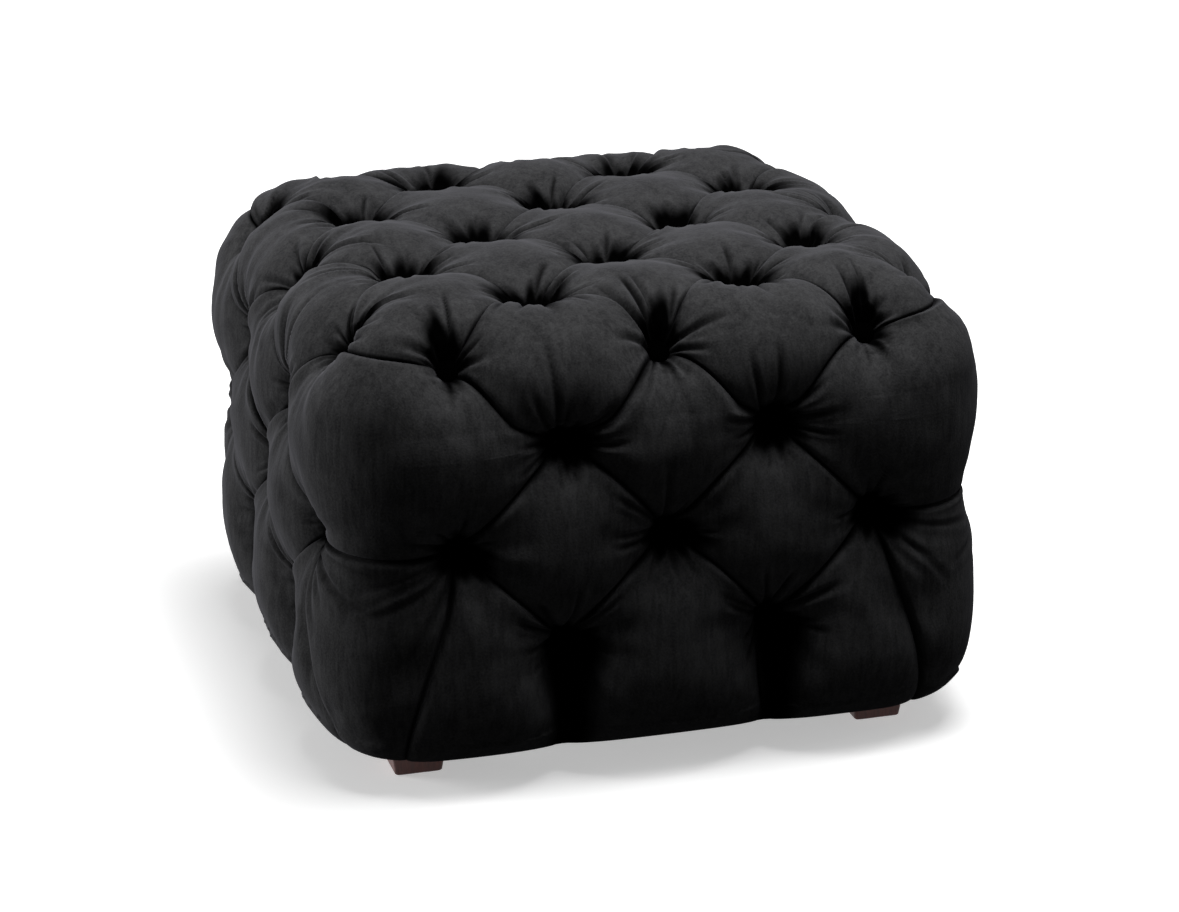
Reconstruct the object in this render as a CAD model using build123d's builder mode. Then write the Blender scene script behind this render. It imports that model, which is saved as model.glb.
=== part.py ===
from build123d import *

import os
from math import copysign, cos, exp, radians, sin, sqrt, tan

# Square pouf: a deep tufted velvet cover over foam and a plywood box, on four short wooden feet.
# Millimetres, +Z up, -Y is the front, and the origin is on the floor under the middle.

# Overall sizes
BODY_WIDTH = 560.0  # crown to crown, the same both ways
BODY_HEIGHT = 390.0  # floor to the crown of the top
FOOT_HEIGHT = 25.0  # floor to the hem

# Tufting: rows of wells half a pitch apart, each row shifted by half a pitch
PITCHES_ACROSS = 3  # pitches between the rolled edges
EDGE_ALLOWANCE = 59.0  # share of the width that both rolled edges take together
FIRST_ROW_DROP = 110.0  # crown of the top down to the first row of wells on a side
SKIRT_HEIGHT = 91.0  # hem up to the lowest row of wells
PUFF_DEPTH = 40.0  # crown of a puff above the floor of the wells
VALLEY_RISE = 27.0  # pleat halfway between two wells, above the same floor
WELL_WALL = 0.6  # share of that rise that the pleats keep at the mouth of a well
WELL_ROOM = 2.7  # button to the puffs round it
WELL_FADE = 20.0  # how far along a pleat a well draws the puffs in
PLEAT_TAPER = 0.35  # how much slacker a puff's arch is between two wells than beside one
CORNER_TAPER = 0.15  # how much slacker it is for wrapping an edge
CROWN_FULLNESS = 0.5  # lower makes a puff flatter on its crown and steeper at its ends
RIM_LIMIT = 0.9  # highest rim of a puff, as a share of its crown
PLEAT_GAP = 1.2  # between two puffs at the bottom of their pleat
SKIRT_ROLL = 75.0  # height over which the skirt draws in at the hem
HEM_KEEP = 0.16  # share of its swell that the skirt keeps at the hem
HEM_LEAN = 40.0  # how far the outer pleats of a side lean towards the corners at the hem
PUFF_SINK = 4.0  # root of a puff below the floor of the wells
SEAT_DEPTH = 1.0  # button seat below the floor of the wells

# Cover: wadding backing behind the wells, and the hem that turns under the base board
BACKING = 8.0
EDGE_RADIUS = 50.0  # rolled top edges at the floor of the wells
CORNER_RADIUS = 60.0  # upright edges at the same level
HEM_RADIUS = 8.0
HEM_WIDTH = 27.0
HEM_THICKNESS = 1.0

# Foam and plywood box
TOP_FOAM = 30.0
SIDE_FOAM = 17.0
BOARD = 12.0
BLOCK_LEG = 40.0
BLOCK_HEIGHT = 50.0

# Tufting buttons and twines
BUTTON_RADIUS = 9.0
BUTTON_RIM = 2.0
BUTTON_HEIGHT = 7.0
BUTTON_PLAY = 0.4  # button to the side of its seat
TWINE_RADIUS = 1.0
TWINE_PLAY = 0.5  # twine to the side of its hole
KNOT_RADIUS = 3.0
KNOT_LENGTH = 4.0

# Wood screws
SCREW_RADIUS = 2.0
SCREW_HEAD_RADIUS = 4.0
SCREW_LENGTH = 36.0
SCREW_PLAY = 0.15
SCREW_SPREAD = 110.0  # screw from the middle of a board, along it
CORNER_SCREWS = 3

# Feet and their bolts
FOOT_TOP = 45.0
FOOT_BOTTOM = 38.0
FOOT_ROUND = 3.0
FOOT_CHAMFER = 1.0
BOLT_RADIUS = 4.0
BOLT_DEPTH = 17.0  # bolt inside the foot
BOLT_PLAY = 0.15
NUT_BARREL_RADIUS = 5.5
NUT_FLANGE_RADIUS = 9.5
NUT_FLANGE = 1.5
NUT_SPIKE_ROOM = 1.5  # tee nut to the boards beside it
BOLT_TIP = 5.0  # bolt above the tee nut

# Dust cover and staples
DUST_GAP = 0.3
STAPLE_CROWN = 11.0
STAPLE_WIRE = 0.9
STAPLE_LEG = 8.0
STAPLE_INSET = 7.0  # staple from the edge of what it holds
STAPLE_SPAN = 280.0  # first staple to last along a side
STAPLES_PER_SIDE = 6
STAPLE_PLAY = 0.1

# Levels and widths that follow
half_pitch = (BODY_WIDTH - EDGE_ALLOWANCE) / PITCHES_ACROSS / 2
well_half = BODY_WIDTH / 2 - PUFF_DEPTH
well_radius = BUTTON_RADIUS + WELL_ROOM
well_top = BODY_HEIGHT - PUFF_DEPTH
row_drop = (BODY_HEIGHT - FOOT_HEIGHT - FIRST_ROW_DROP - SKIRT_HEIGHT) / 2
core_half = well_half - BACKING
core_top = well_top - BACKING
base_bottom = FOOT_HEIGHT + HEM_THICKNESS
base_top = base_bottom + BOARD
deck_top = core_top - TOP_FOAM
deck_bottom = deck_top - BOARD
box_half = core_half - SIDE_FOAM
box_inner = box_half - BOARD
hem_half = core_half - HEM_WIDTH
foot_centre = box_inner - NUT_SPIKE_ROOM - NUT_FLANGE_RADIUS
board_middle = box_half - BOARD / 2
edge_fall = EDGE_RADIUS * (1 - cos(radians(45)))
quarter_turns = (0, 90, 180, 270)

UP = Vector(0, 0, 1)
FRONT = Vector(0, -1, 0)
ROLLED = Vector(0, -sqrt(0.5), sqrt(0.5))


# Wells of the tufting, each a point on the cover's inner level and the direction it opens to


def row_height(row):
    """Height of a row of wells on a side; row 1 is the highest, and row 0 is a row above it."""
    return BODY_HEIGHT - FIRST_ROW_DROP - (row - 1) * row_drop


def top_well(column, line):
    return Vector(column * half_pitch, line * half_pitch, well_top), UP


def edge_well(column):
    return Vector(column * half_pitch, edge_fall - well_half, well_top - edge_fall), ROLLED


def side_well(column, row):
    return Vector(column * half_pitch, -well_half, row_height(row)), FRONT


def hem_point(column):
    """End of a pleat at the hem, where the outer pleats lean round the corners."""
    lean = HEM_LEAN if abs(column) == 2 else 0
    straight = well_half - CORNER_RADIUS
    place = abs(column) * half_pitch + lean
    angle = max(0, place - straight) / CORNER_RADIUS
    outward = Vector(copysign(sin(angle), column), -cos(angle), 0)
    middle = Vector(copysign(min(place, straight), column), -straight, FOOT_HEIGHT)
    return middle + outward * CORNER_RADIUS, outward


def turned(well, angle):
    """The same well after a turn about the upright middle axis."""
    point, outward = well
    return point.rotate(Axis.Z, angle), outward.rotate(Axis.Z, angle)


def across_corner(well):
    """The well's mirror image on the left side, over the upright front left edge."""
    point, outward = well
    return Vector(point.Y, point.X, point.Z), Vector(outward.Y, outward.X, outward.Z)


def well_plane(well):
    """Plane on the well's button seat, with its Z out of the well."""
    point, outward = well
    return Plane(origin=point - outward * SEAT_DEPTH, z_dir=outward)


inner_wells = [
    top_well(column, line)
    for column in range(-2, 3)
    for line in range(-2, 3)
    if (column + line) % 2
]
edge_wells = [turned(edge_well(column), angle) for angle in quarter_turns for column in (-2, 0, 2)]
front_wells = [
    side_well(column, row)
    for row in (1, 2, 3)
    for column in range(-2, 3)
    if (column + row) % 2 == 0
]


# Blocks at the floor of the wells and behind the wadding


def rounded_block(half_width, bottom, top, upright_radius, top_radius):
    """A square block with rounded upright edges and rolled top edges."""
    with BuildPart() as block:
        with BuildSketch(Plane.XY.offset(bottom)):
            RectangleRounded(2 * half_width, 2 * half_width, upright_radius)
        extrude(amount=top - bottom)
        fillet(block.faces().sort_by(Axis.Z)[-1].edges(), top_radius)
    return block.part


well_block = rounded_block(well_half, FOOT_HEIGHT, well_top, CORNER_RADIUS, EDGE_RADIUS)
core_block = rounded_block(
    core_half, base_bottom, core_top, CORNER_RADIUS - BACKING, EDGE_RADIUS - BACKING
)


# Puffs between the wells, each a loft through arched sections


def along(boundary, share):
    """Point and outward direction at a share of a boundary of (share, (point, direction)) stops."""
    for (start, (point_a, out_a)), (end, (point_b, out_b)) in zip(boundary, boundary[1:]):
        if share <= end:
            part = (share - start) / (end - start)
            return point_a + (point_b - point_a) * part, out_a + (out_b - out_a) * part


def hem_share(height):
    """Share of its swell that the cover keeps at a height above the floor."""
    low = max(0.0, 1 - (height - FOOT_HEIGHT) / SKIRT_ROLL)
    return HEM_KEEP + (1 - HEM_KEEP) * sqrt(max(0.0, 1 - low**2))


def drawn(boundary, share):
    """Point and outward direction of a pleat, and how strongly its nearest well draws it in."""
    point, outward = along(boundary, share)
    wells = [stop for _, (stop, _) in boundary if stop.Z > FOOT_HEIGHT]
    return point, outward, exp(-min((point - well).length for well in wells) / WELL_FADE)


def puff(left, right, stations, swell):
    """A puff lofted between its left and right pleats.

    Each station is a share of the puff's length, and swell gives the crown there above the floor of
    the wells. A section stands on the chord between the pleats and arches over the block's skin.
    """
    with BuildPart() as body:
        for share in stations:
            left_point, left_out, left_draw = drawn(left, share)
            right_point, right_out, right_draw = drawn(right, share)
            across = right_point - left_point
            section_plane = Plane(
                origin=(left_point + right_point) * 0.5,
                x_dir=across,
                z_dir=across.cross(left_out + right_out),
            )
            upward = Axis(section_plane.origin, section_plane.y_dir)
            hits = well_block.find_intersection_points(upward)
            skin = max(section_plane.to_local_coords(point).Y for point, _ in hits)
            crown = skin + swell(share)
            lean = radians(left_out.get_angle(right_out)) / 2
            roots, rims, arms = [], [], []
            for side, point, draw in ((-1, left_point, left_draw), (1, right_point, right_draw)):
                half = (across.length - PLEAT_GAP) / 2 - well_radius * draw**2
                valley = VALLEY_RISE * (1 - (1 - WELL_WALL) * draw) * hem_share(point.Z)
                valley = min(valley, RIM_LIMIT * swell(share))
                reach = half + valley * sin(lean)
                slack = PLEAT_TAPER * (1 - draw) * (1 + lean) + CORNER_TAPER * lean
                roots.append((side * (half - PUFF_SINK * tan(lean)), -PUFF_SINK))
                rims.append((side * reach, valley * cos(lean)))
                arms.append(side * reach * (1 - slack))
            peak = (8 * crown - rims[0][1] - rims[1][1]) / 6
            with BuildSketch(section_plane):
                with BuildLine():
                    Polyline(rims[0], roots[0], roots[1], rims[1])
                    Bezier(rims[1], (arms[1], peak), (arms[0], peak), rims[0])
                make_face()
        loft(ruled=True)
    return body.part


def dome(share):
    """Rise of a puff along its length, nothing at both ends and one in the middle."""
    return max(0.0, 4 * share * (1 - share)) ** CROWN_FULLNESS


def tuft_swell(share):
    return PUFF_DEPTH * dome(share)


def corner_swell(share):
    return VALLEY_RISE + (PUFF_DEPTH - VALLEY_RISE) * dome(share)


def skirt_height(share):
    """Height above the floor at a share of a skirt puff."""
    return row_height(2) + share * (FOOT_HEIGHT - row_height(2))


def skirt_swell(share):
    return tuft_swell(min(share, 0.5)) * hem_share(skirt_height(share))


def skirt_corner_swell(share):
    return corner_swell(min(share, 0.5)) * hem_share(skirt_height(share))


TUFT_STATIONS = (0.08, 0.18, 0.3, 0.42, 0.5, 0.58, 0.7, 0.82, 0.92)
CORNER_STATIONS = (0.01, 0.1, 0.25, 0.41, 0.5, 0.59, 0.75, 0.9, 0.99)
SKIRT_STATIONS = (0.07, 0.18, 0.31, 0.41, 0.48, 0.56, 0.7, 0.84, 0.93, 1.0)
SKIRT_CORNER_STATIONS = (0.01, 0.1, 0.25, 0.48, 0.7, 0.84, 0.93, 1.0)
TOP_CORNER_STATIONS = (0.01, 0.1, 0.28, 0.5, 0.72, 0.9, 0.99)


def tuft_puff(first, left, last, right):
    """A four-sided puff from its first well to its last, with a well at each side corner."""
    left_pleat = [(0, first), (0.5, left), (1, last)]
    right_pleat = [(0, first), (0.5, right), (1, last)]
    return puff(left_pleat, right_pleat, TUFT_STATIONS, tuft_swell)


middle_puff = tuft_puff(top_well(-1, 0), top_well(0, 1), top_well(1, 0), top_well(0, -1))

quarter_puffs = [
    tuft_puff(top_well(-2, -1), top_well(-1, 0), top_well(0, -1), top_well(-1, -2)),
    tuft_puff(top_well(0, -1), top_well(1, -2), edge_well(0), top_well(-1, -2)),
    tuft_puff(side_well(-1, 1), edge_well(0), side_well(1, 1), side_well(0, 2)),
]
for column in (-1, 1):
    quarter_puffs.append(
        tuft_puff(
            edge_well(column - 1), top_well(column, -2), edge_well(column + 1), side_well(column, 1)
        )
    )
    quarter_puffs.append(
        tuft_puff(
            side_well(column - 1, 2), side_well(column, 1), side_well(column + 1, 2), side_well(column, 3)
        )
    )


def mirrored(boundary):
    """The same boundary on the left side, over the upright front left edge."""
    return [(share, across_corner(well)) for share, well in boundary]


# Puff on each corner of the top, and the six-sided one below it round the upright edge
top_right = [(0, top_well(-1, -2)), (1, edge_well(-2))]
quarter_puffs.append(puff(mirrored(top_right), top_right, TOP_CORNER_STATIONS, corner_swell))
corner_right = [(0, edge_well(-2)), (0.5, side_well(-1, 1)), (1, side_well(-2, 2))]
quarter_puffs.append(puff(mirrored(corner_right), corner_right, CORNER_STATIONS, corner_swell))

# Skirt puffs that run down to the hem
skirt_turn = row_drop / (row_drop + SKIRT_HEIGHT)
left_turn = [(0, side_well(0, 2)), (skirt_turn, side_well(-1, 3)), (1, hem_point(-1))]
right_turn = [(0, side_well(0, 2)), (skirt_turn, side_well(1, 3)), (1, hem_point(1))]
quarter_puffs.append(puff(left_turn, right_turn, SKIRT_STATIONS, skirt_swell))

outer_left = [(0, side_well(-2, 2)), (1, hem_point(-2))]
inner_left = [(0, side_well(-2, 2)), (skirt_turn, side_well(-1, 3)), (1, hem_point(-1))]
quarter_puffs.append(puff(outer_left, inner_left, SKIRT_STATIONS, skirt_swell))

outer_right = [(0, side_well(2, 2)), (1, hem_point(2))]
inner_right = [(0, side_well(2, 2)), (skirt_turn, side_well(1, 3)), (1, hem_point(1))]
quarter_puffs.append(puff(inner_right, outer_right, SKIRT_STATIONS, skirt_swell))

quarter_puffs.append(puff(mirrored(outer_left), outer_left, SKIRT_CORNER_STATIONS, skirt_corner_swell))


# Cover with its stuffed puffs, its wells and the hollow for the foam and the box


side_wells = {
    "front": front_wells,
    "right": [turned(well, 90) for well in front_wells],
    "rear": [turned(well, 180) for well in front_wells],
    "left": [turned(well, 270) for well in front_wells],
}
all_wells = inner_wells + edge_wells + sum(side_wells.values(), [])


# Places of the feet and of the staples under the base board


foot_spots = [(side * foot_centre, face * foot_centre) for side in (-1, 1) for face in (-1, 1)]


def staple_shape(play):
    """A staple with its legs up through Z zero and its crown below, wider by the play."""
    wire = STAPLE_WIRE + 2 * play
    leg_middle = (STAPLE_CROWN - STAPLE_WIRE) / 2
    with BuildPart() as staple:
        with BuildSketch(Plane.XY.offset(-STAPLE_WIRE)):
            Rectangle(STAPLE_CROWN + 2 * play, wire)
        extrude(amount=STAPLE_WIRE)
        with BuildSketch():
            with Locations((-leg_middle, 0), (leg_middle, 0)):
                Rectangle(wire, wire)
        extrude(amount=STAPLE_LEG + play)
    return staple.part


def staple_planes(distance):
    """Planes of the staples in a square row, at a distance from the middle."""
    step = STAPLE_SPAN / (STAPLES_PER_SIDE - 1)
    starts = [count * step - STAPLE_SPAN / 2 for count in range(STAPLES_PER_SIDE)]
    spots = [Vector(start, -distance, FOOT_HEIGHT) for start in starts]
    return [
        Plane(origin=spot.rotate(Axis.Z, angle), x_dir=Vector(1, 0, 0).rotate(Axis.Z, angle))
        for angle in quarter_turns
        for spot in spots
    ]


hem_staple_planes = staple_planes(hem_half + STAPLE_INSET)
dust_staple_planes = staple_planes(hem_half - STAPLE_INSET)
staple_hole = staple_shape(STAPLE_PLAY)
hem_staple_holes = [place.location * staple_hole for place in hem_staple_planes]
dust_staple_holes = [place.location * staple_hole for place in dust_staple_planes]

# Lengths of the twines, from the button seats to the inside of the boards
side_reach = well_half - SEAT_DEPTH - box_inner
top_reach = well_top - SEAT_DEPTH - deck_bottom
edge_reach = (well_top - edge_fall - deck_bottom) / cos(radians(45)) - SEAT_DEPTH


def drill_twine_holes(wells, depth):
    """Cut a twine hole inwards from each well, as deep as given."""
    with Locations(*[well_plane(well) for well in wells]):
        Cylinder(
            TWINE_RADIUS + TWINE_PLAY,
            depth,
            align=(Align.CENTER, Align.CENTER, Align.MAX),
            mode=Mode.SUBTRACT,
        )


with BuildPart() as cover:
    add(well_block)
    fillet(cover.faces().sort_by(Axis.Z)[0].edges(), HEM_RADIUS)
    with PolarLocations(0, 4):
        add(quarter_puffs)
    add(middle_puff)
    with Locations(*[well_plane(well) for well in all_wells]):
        Cylinder(
            BUTTON_RADIUS + BUTTON_PLAY,
            BUTTON_HEIGHT,
            align=(Align.CENTER, Align.CENTER, Align.MIN),
            mode=Mode.SUBTRACT,
        )
    drill_twine_holes(all_wells, 2 * BACKING)
    add(core_block, mode=Mode.SUBTRACT)
    with BuildSketch(Plane.XY.offset(FOOT_HEIGHT)):
        RectangleRounded(2 * hem_half, 2 * hem_half, CORNER_RADIUS - HEM_WIDTH)
    extrude(amount=HEM_THICKNESS, mode=Mode.SUBTRACT)
    add(hem_staple_holes, mode=Mode.SUBTRACT)


# Foam pads on the box


with BuildPart() as top_foam:
    add(core_block)
    split(bisect_by=Plane.XY.offset(deck_top), keep=Keep.TOP)
    drill_twine_holes(inner_wells + edge_wells, top_reach)

with BuildPart() as front_foam:
    add(core_block)
    split(bisect_by=Plane.XY.offset(base_top), keep=Keep.TOP)
    split(bisect_by=Plane.XY.offset(deck_top), keep=Keep.BOTTOM)
    split(bisect_by=Plane.XZ.offset(box_half), keep=Keep.TOP)
    drill_twine_holes(side_wells["front"], side_reach)

with BuildPart() as left_foam:
    add(core_block)
    split(bisect_by=Plane.XY.offset(base_top), keep=Keep.TOP)
    split(bisect_by=Plane.XY.offset(deck_top), keep=Keep.BOTTOM)
    split(bisect_by=Plane.YZ.offset(-box_half), keep=Keep.BOTTOM)
    split(bisect_by=Plane.XZ.offset(box_half), keep=Keep.BOTTOM)
    split(bisect_by=Plane.XZ.offset(-box_half), keep=Keep.TOP)
    drill_twine_holes(side_wells["left"], side_reach)


# Plywood box: deck, base board, four sides and four corner blocks


def screw_shape(play):
    """A countersunk wood screw with its head at Z zero, pointing down, thicker by the play."""
    shank = SCREW_RADIUS + play
    head = SCREW_HEAD_RADIUS + play
    with BuildPart() as screw:
        with BuildSketch(Plane.XZ):
            with BuildLine():
                Polyline(
                    (0, 0),
                    (head, 0),
                    (shank, shank - head),
                    (shank, shank - SCREW_LENGTH),
                    (0, -SCREW_LENGTH),
                    close=True,
                )
            make_face()
        revolve(axis=Axis.Z)
    return screw.part


along_boards = [
    Vector(spot, -board_middle, 0).rotate(Axis.Z, angle)
    for angle in quarter_turns
    for spot in (-SCREW_SPREAD, SCREW_SPREAD)
]
corner_step = (deck_bottom - base_top) / (CORNER_SCREWS + 1)
deck_screw_planes = [Plane(origin=(spot.X, spot.Y, deck_top)) for spot in along_boards]
base_screw_planes = [
    Plane(origin=(spot.X, spot.Y, base_bottom), z_dir=(0, 0, -1)) for spot in along_boards
]
corner_screw_planes = [
    Plane(
        origin=(side * board_middle, face * box_half, base_top + (count + 1) * corner_step),
        z_dir=(0, face, 0),
    )
    for side in (-1, 1)
    for face in (-1, 1)
    for count in range(CORNER_SCREWS)
]
screw = screw_shape(0)
screw_hole = screw_shape(SCREW_PLAY)


def drill_screw_holes():
    """Cut every screw hole that runs through the current board."""
    with Locations(*deck_screw_planes, *base_screw_planes, *corner_screw_planes):
        add(screw_hole, mode=Mode.SUBTRACT)


with BuildPart() as deck:
    with BuildSketch(Plane.XY.offset(deck_bottom)):
        Rectangle(2 * box_half, 2 * box_half)
    extrude(amount=BOARD)
    drill_twine_holes(inner_wells + edge_wells, top_reach + BOARD)
    drill_screw_holes()

with BuildPart() as base_board:
    with BuildSketch(Plane.XY.offset(base_bottom)):
        RectangleRounded(2 * core_half, 2 * core_half, CORNER_RADIUS - BACKING)
        with Locations(*foot_spots):
            Circle(NUT_BARREL_RADIUS + BOLT_PLAY, mode=Mode.SUBTRACT)
    extrude(amount=BOARD)
    drill_screw_holes()
    add(hem_staple_holes, mode=Mode.SUBTRACT)
    add(dust_staple_holes, mode=Mode.SUBTRACT)

with BuildPart() as front_board:
    with BuildSketch(Plane.XZ.offset(box_inner)):
        with Locations((0, (base_top + deck_bottom) / 2)):
            Rectangle(2 * box_half, deck_bottom - base_top)
    extrude(amount=BOARD)
    drill_twine_holes(side_wells["front"], side_reach + BOARD)
    drill_screw_holes()

with BuildPart() as left_board:
    with BuildSketch(Plane.YZ.offset(-box_half)):
        with Locations((0, (base_top + deck_bottom) / 2)):
            Rectangle(2 * box_inner, deck_bottom - base_top)
    extrude(amount=BOARD)
    drill_twine_holes(side_wells["left"], side_reach + BOARD)
    drill_screw_holes()

with BuildPart() as corner_block:
    with BuildSketch(Plane.XY.offset((row_height(2) + row_height(3) - BLOCK_HEIGHT) / 2)):
        with BuildLine():
            Polyline(
                (-box_inner, -box_inner),
                (BLOCK_LEG - box_inner, -box_inner),
                (-box_inner, BLOCK_LEG - box_inner),
                close=True,
            )
        make_face()
    extrude(amount=BLOCK_HEIGHT)


# Tufting buttons, and the twines that hold them to the box


with BuildPart() as button:
    with BuildSketch(Plane.XZ):
        with BuildLine():
            Polyline((0, BUTTON_HEIGHT), (0, 0), (BUTTON_RADIUS, 0), (BUTTON_RADIUS, BUTTON_RIM))
            TangentArc((0, BUTTON_HEIGHT), (BUTTON_RADIUS, BUTTON_RIM), tangent=(1, 0))
        make_face()
    revolve(axis=Axis.Z)


def twine(length, knot_room):
    """A twine from a button's back to the inside of the box, and its knot past the board."""
    with BuildPart() as cord:
        with BuildSketch():
            Circle(TWINE_RADIUS)
        extrude(amount=-length - knot_room)
        with BuildSketch(Plane.XY.offset(-length - knot_room)):
            Circle(KNOT_RADIUS)
        extrude(amount=-KNOT_LENGTH)
    return cord.part


# Feet, foot bolts and tee nuts


with BuildPart() as foot:
    with BuildSketch():
        RectangleRounded(FOOT_BOTTOM, FOOT_BOTTOM, FOOT_ROUND)
    with BuildSketch(Plane.XY.offset(FOOT_HEIGHT)):
        RectangleRounded(FOOT_TOP, FOOT_TOP, FOOT_ROUND)
    loft()
    chamfer(foot.faces().sort_by(Axis.Z)[0].edges(), FOOT_CHAMFER)
    with BuildSketch(Plane.XY.offset(FOOT_HEIGHT)):
        Circle(BOLT_RADIUS + BOLT_PLAY)
    extrude(amount=-BOLT_DEPTH, mode=Mode.SUBTRACT)

with BuildPart() as bolt:
    with BuildSketch(Plane.XY.offset(FOOT_HEIGHT - BOLT_DEPTH)):
        Circle(BOLT_RADIUS)
    extrude(amount=BOLT_DEPTH + HEM_THICKNESS + BOARD + NUT_FLANGE + BOLT_TIP)

with BuildPart() as tee_nut:
    with BuildSketch(Plane.XY.offset(base_bottom)):
        Circle(NUT_BARREL_RADIUS)
    extrude(amount=BOARD)
    with BuildSketch(Plane.XY.offset(base_top)):
        Circle(NUT_FLANGE_RADIUS)
    extrude(amount=NUT_FLANGE)
    with BuildSketch(Plane.XY.offset(base_bottom)):
        Circle(BOLT_RADIUS + BOLT_PLAY)
    extrude(amount=BOARD + NUT_FLANGE, mode=Mode.SUBTRACT)


# Dust cover under the base board


with BuildPart() as dust_cover:
    with BuildSketch(Plane.XY.offset(FOOT_HEIGHT)):
        dust_half = hem_half - DUST_GAP
        RectangleRounded(2 * dust_half, 2 * dust_half, CORNER_RADIUS - HEM_WIDTH)
        with Locations(*foot_spots):
            Circle(BOLT_RADIUS + BOLT_PLAY, mode=Mode.SUBTRACT)
    extrude(amount=HEM_THICKNESS)
    add(dust_staple_holes, mode=Mode.SUBTRACT)


# The finished pieces, each written under its own name


def placed(piece, *places):
    """Copies of a piece at the given places, as one group of separate solids."""
    with BuildPart() as group:
        with Locations(*places):
            add(piece)
    return group.part


def keep(piece, name):
    """Label a finished piece and write it."""
    piece.label = name
    export_step(piece, f"parts/{name}.step")


half_turn = Location((0, 0, 0), (0, 0, 180))

os.makedirs("parts", exist_ok=True)
keep(cover.part, "tufted_cover")
keep(top_foam.part, "top_foam")
keep(front_foam.part, "front_foam")
keep(placed(front_foam.part, half_turn), "rear_foam")
keep(left_foam.part, "left_foam")
keep(placed(left_foam.part, half_turn), "right_foam")
keep(deck.part, "deck_board")
keep(base_board.part, "base_board")
keep(front_board.part, "front_board")
keep(placed(front_board.part, half_turn), "rear_board")
keep(left_board.part, "left_board")
keep(placed(left_board.part, half_turn), "right_board")
for corner, angle in zip(("front_left", "front_right", "rear_right", "rear_left"), quarter_turns):
    turn = Location((0, 0, 0), (0, 0, angle))
    keep(placed(corner_block.part, turn), f"corner_block_{corner}")
    keep(placed(foot.part, turn * Location((-foot_centre, -foot_centre, 0))), f"foot_{corner}")
keep(placed(screw, *deck_screw_planes), "deck_screws")
keep(placed(screw, *base_screw_planes), "base_screws")
keep(placed(screw, *corner_screw_planes), "corner_screws")
keep(placed(bolt.part, *foot_spots), "foot_bolts")
keep(placed(tee_nut.part, *foot_spots), "tee_nuts")
keep(dust_cover.part, "dust_cover")
keep(placed(staple_shape(0), *dust_staple_planes), "dust_cover_staples")
keep(placed(staple_shape(0), *hem_staple_planes), "hem_staples")

button_wells = {"top": inner_wells, "edge": edge_wells, **side_wells}
for face, wells in button_wells.items():
    places = [well_plane(well) for well in wells]
    keep(placed(button.part, *places), f"{face}_buttons")
    if face == "edge":
        cord = twine(edge_reach, KNOT_RADIUS)
    elif face == "top":
        cord = twine(top_reach, 0)
    else:
        cord = twine(side_reach, 0)
    keep(placed(cord, *places), f"{face}_twines")
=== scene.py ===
import logging
import math
from dataclasses import dataclass, replace
from enum import Enum
from typing import Any

import bpy
import numpy as np
from mathutils import Matrix, Vector


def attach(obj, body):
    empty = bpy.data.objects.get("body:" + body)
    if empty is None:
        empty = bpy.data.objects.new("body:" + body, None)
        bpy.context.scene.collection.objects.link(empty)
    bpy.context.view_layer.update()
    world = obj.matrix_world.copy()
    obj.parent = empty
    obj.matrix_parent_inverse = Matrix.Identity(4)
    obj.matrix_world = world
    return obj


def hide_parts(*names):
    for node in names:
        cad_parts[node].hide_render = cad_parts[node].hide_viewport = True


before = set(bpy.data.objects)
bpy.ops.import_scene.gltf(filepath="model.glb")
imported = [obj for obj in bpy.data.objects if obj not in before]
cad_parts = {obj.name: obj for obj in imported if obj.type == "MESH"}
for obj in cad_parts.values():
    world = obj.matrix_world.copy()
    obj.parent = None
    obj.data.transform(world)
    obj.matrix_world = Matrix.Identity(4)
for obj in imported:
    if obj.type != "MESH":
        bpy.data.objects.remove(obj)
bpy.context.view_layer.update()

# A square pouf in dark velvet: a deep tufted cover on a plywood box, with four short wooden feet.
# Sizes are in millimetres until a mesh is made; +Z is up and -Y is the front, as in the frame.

MM = 0.001
TINY = 1e-9
FAR = 1e3  # millimetres; further than any pleat
FLAT = 0.9  # a well whose outward direction rises more than this lies on the top
TILTED = 0.4  # and one that rises more than this lies on a rolled edge

log = logging.getLogger("pouf")

Array = np.ndarray
Colour = tuple[float, float, float, float]
Tree = bpy.types.NodeTree
Socket = bpy.types.NodeSocket


class Grain(Enum):
    """The axis that a timber's grain follows."""

    ACROSS = 0
    DEEP = 1
    UPRIGHT = 2


class Corner(Enum):
    """The corners of the box, anticlockwise from above."""

    FRONT_LEFT = "front_left"
    FRONT_RIGHT = "front_right"
    REAR_RIGHT = "rear_right"
    REAR_LEFT = "rear_left"


class Face(Enum):
    """The parts of the cover that have their own rows of buttons."""

    TOP = "top"
    EDGE = "edge"
    FRONT = "front"
    REAR = "rear"
    LEFT = "left"
    RIGHT = "right"


def linear(code: str) -> Colour:
    """Turn an sRGB hex colour into the linear values that a shader takes.

    Args:
        code: Six hex digits, such as "1c1c1d".

    Returns:
        Linear red, green and blue, and an alpha of one.
    """
    shares = [int(code[place : place + 2], 16) / 255 for place in (0, 2, 4)]
    red, green, blue = (c / 12.92 if c <= 0.04045 else ((c + 0.055) / 1.055) ** 2.4 for c in shares)
    return red, green, blue, 1.0


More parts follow.
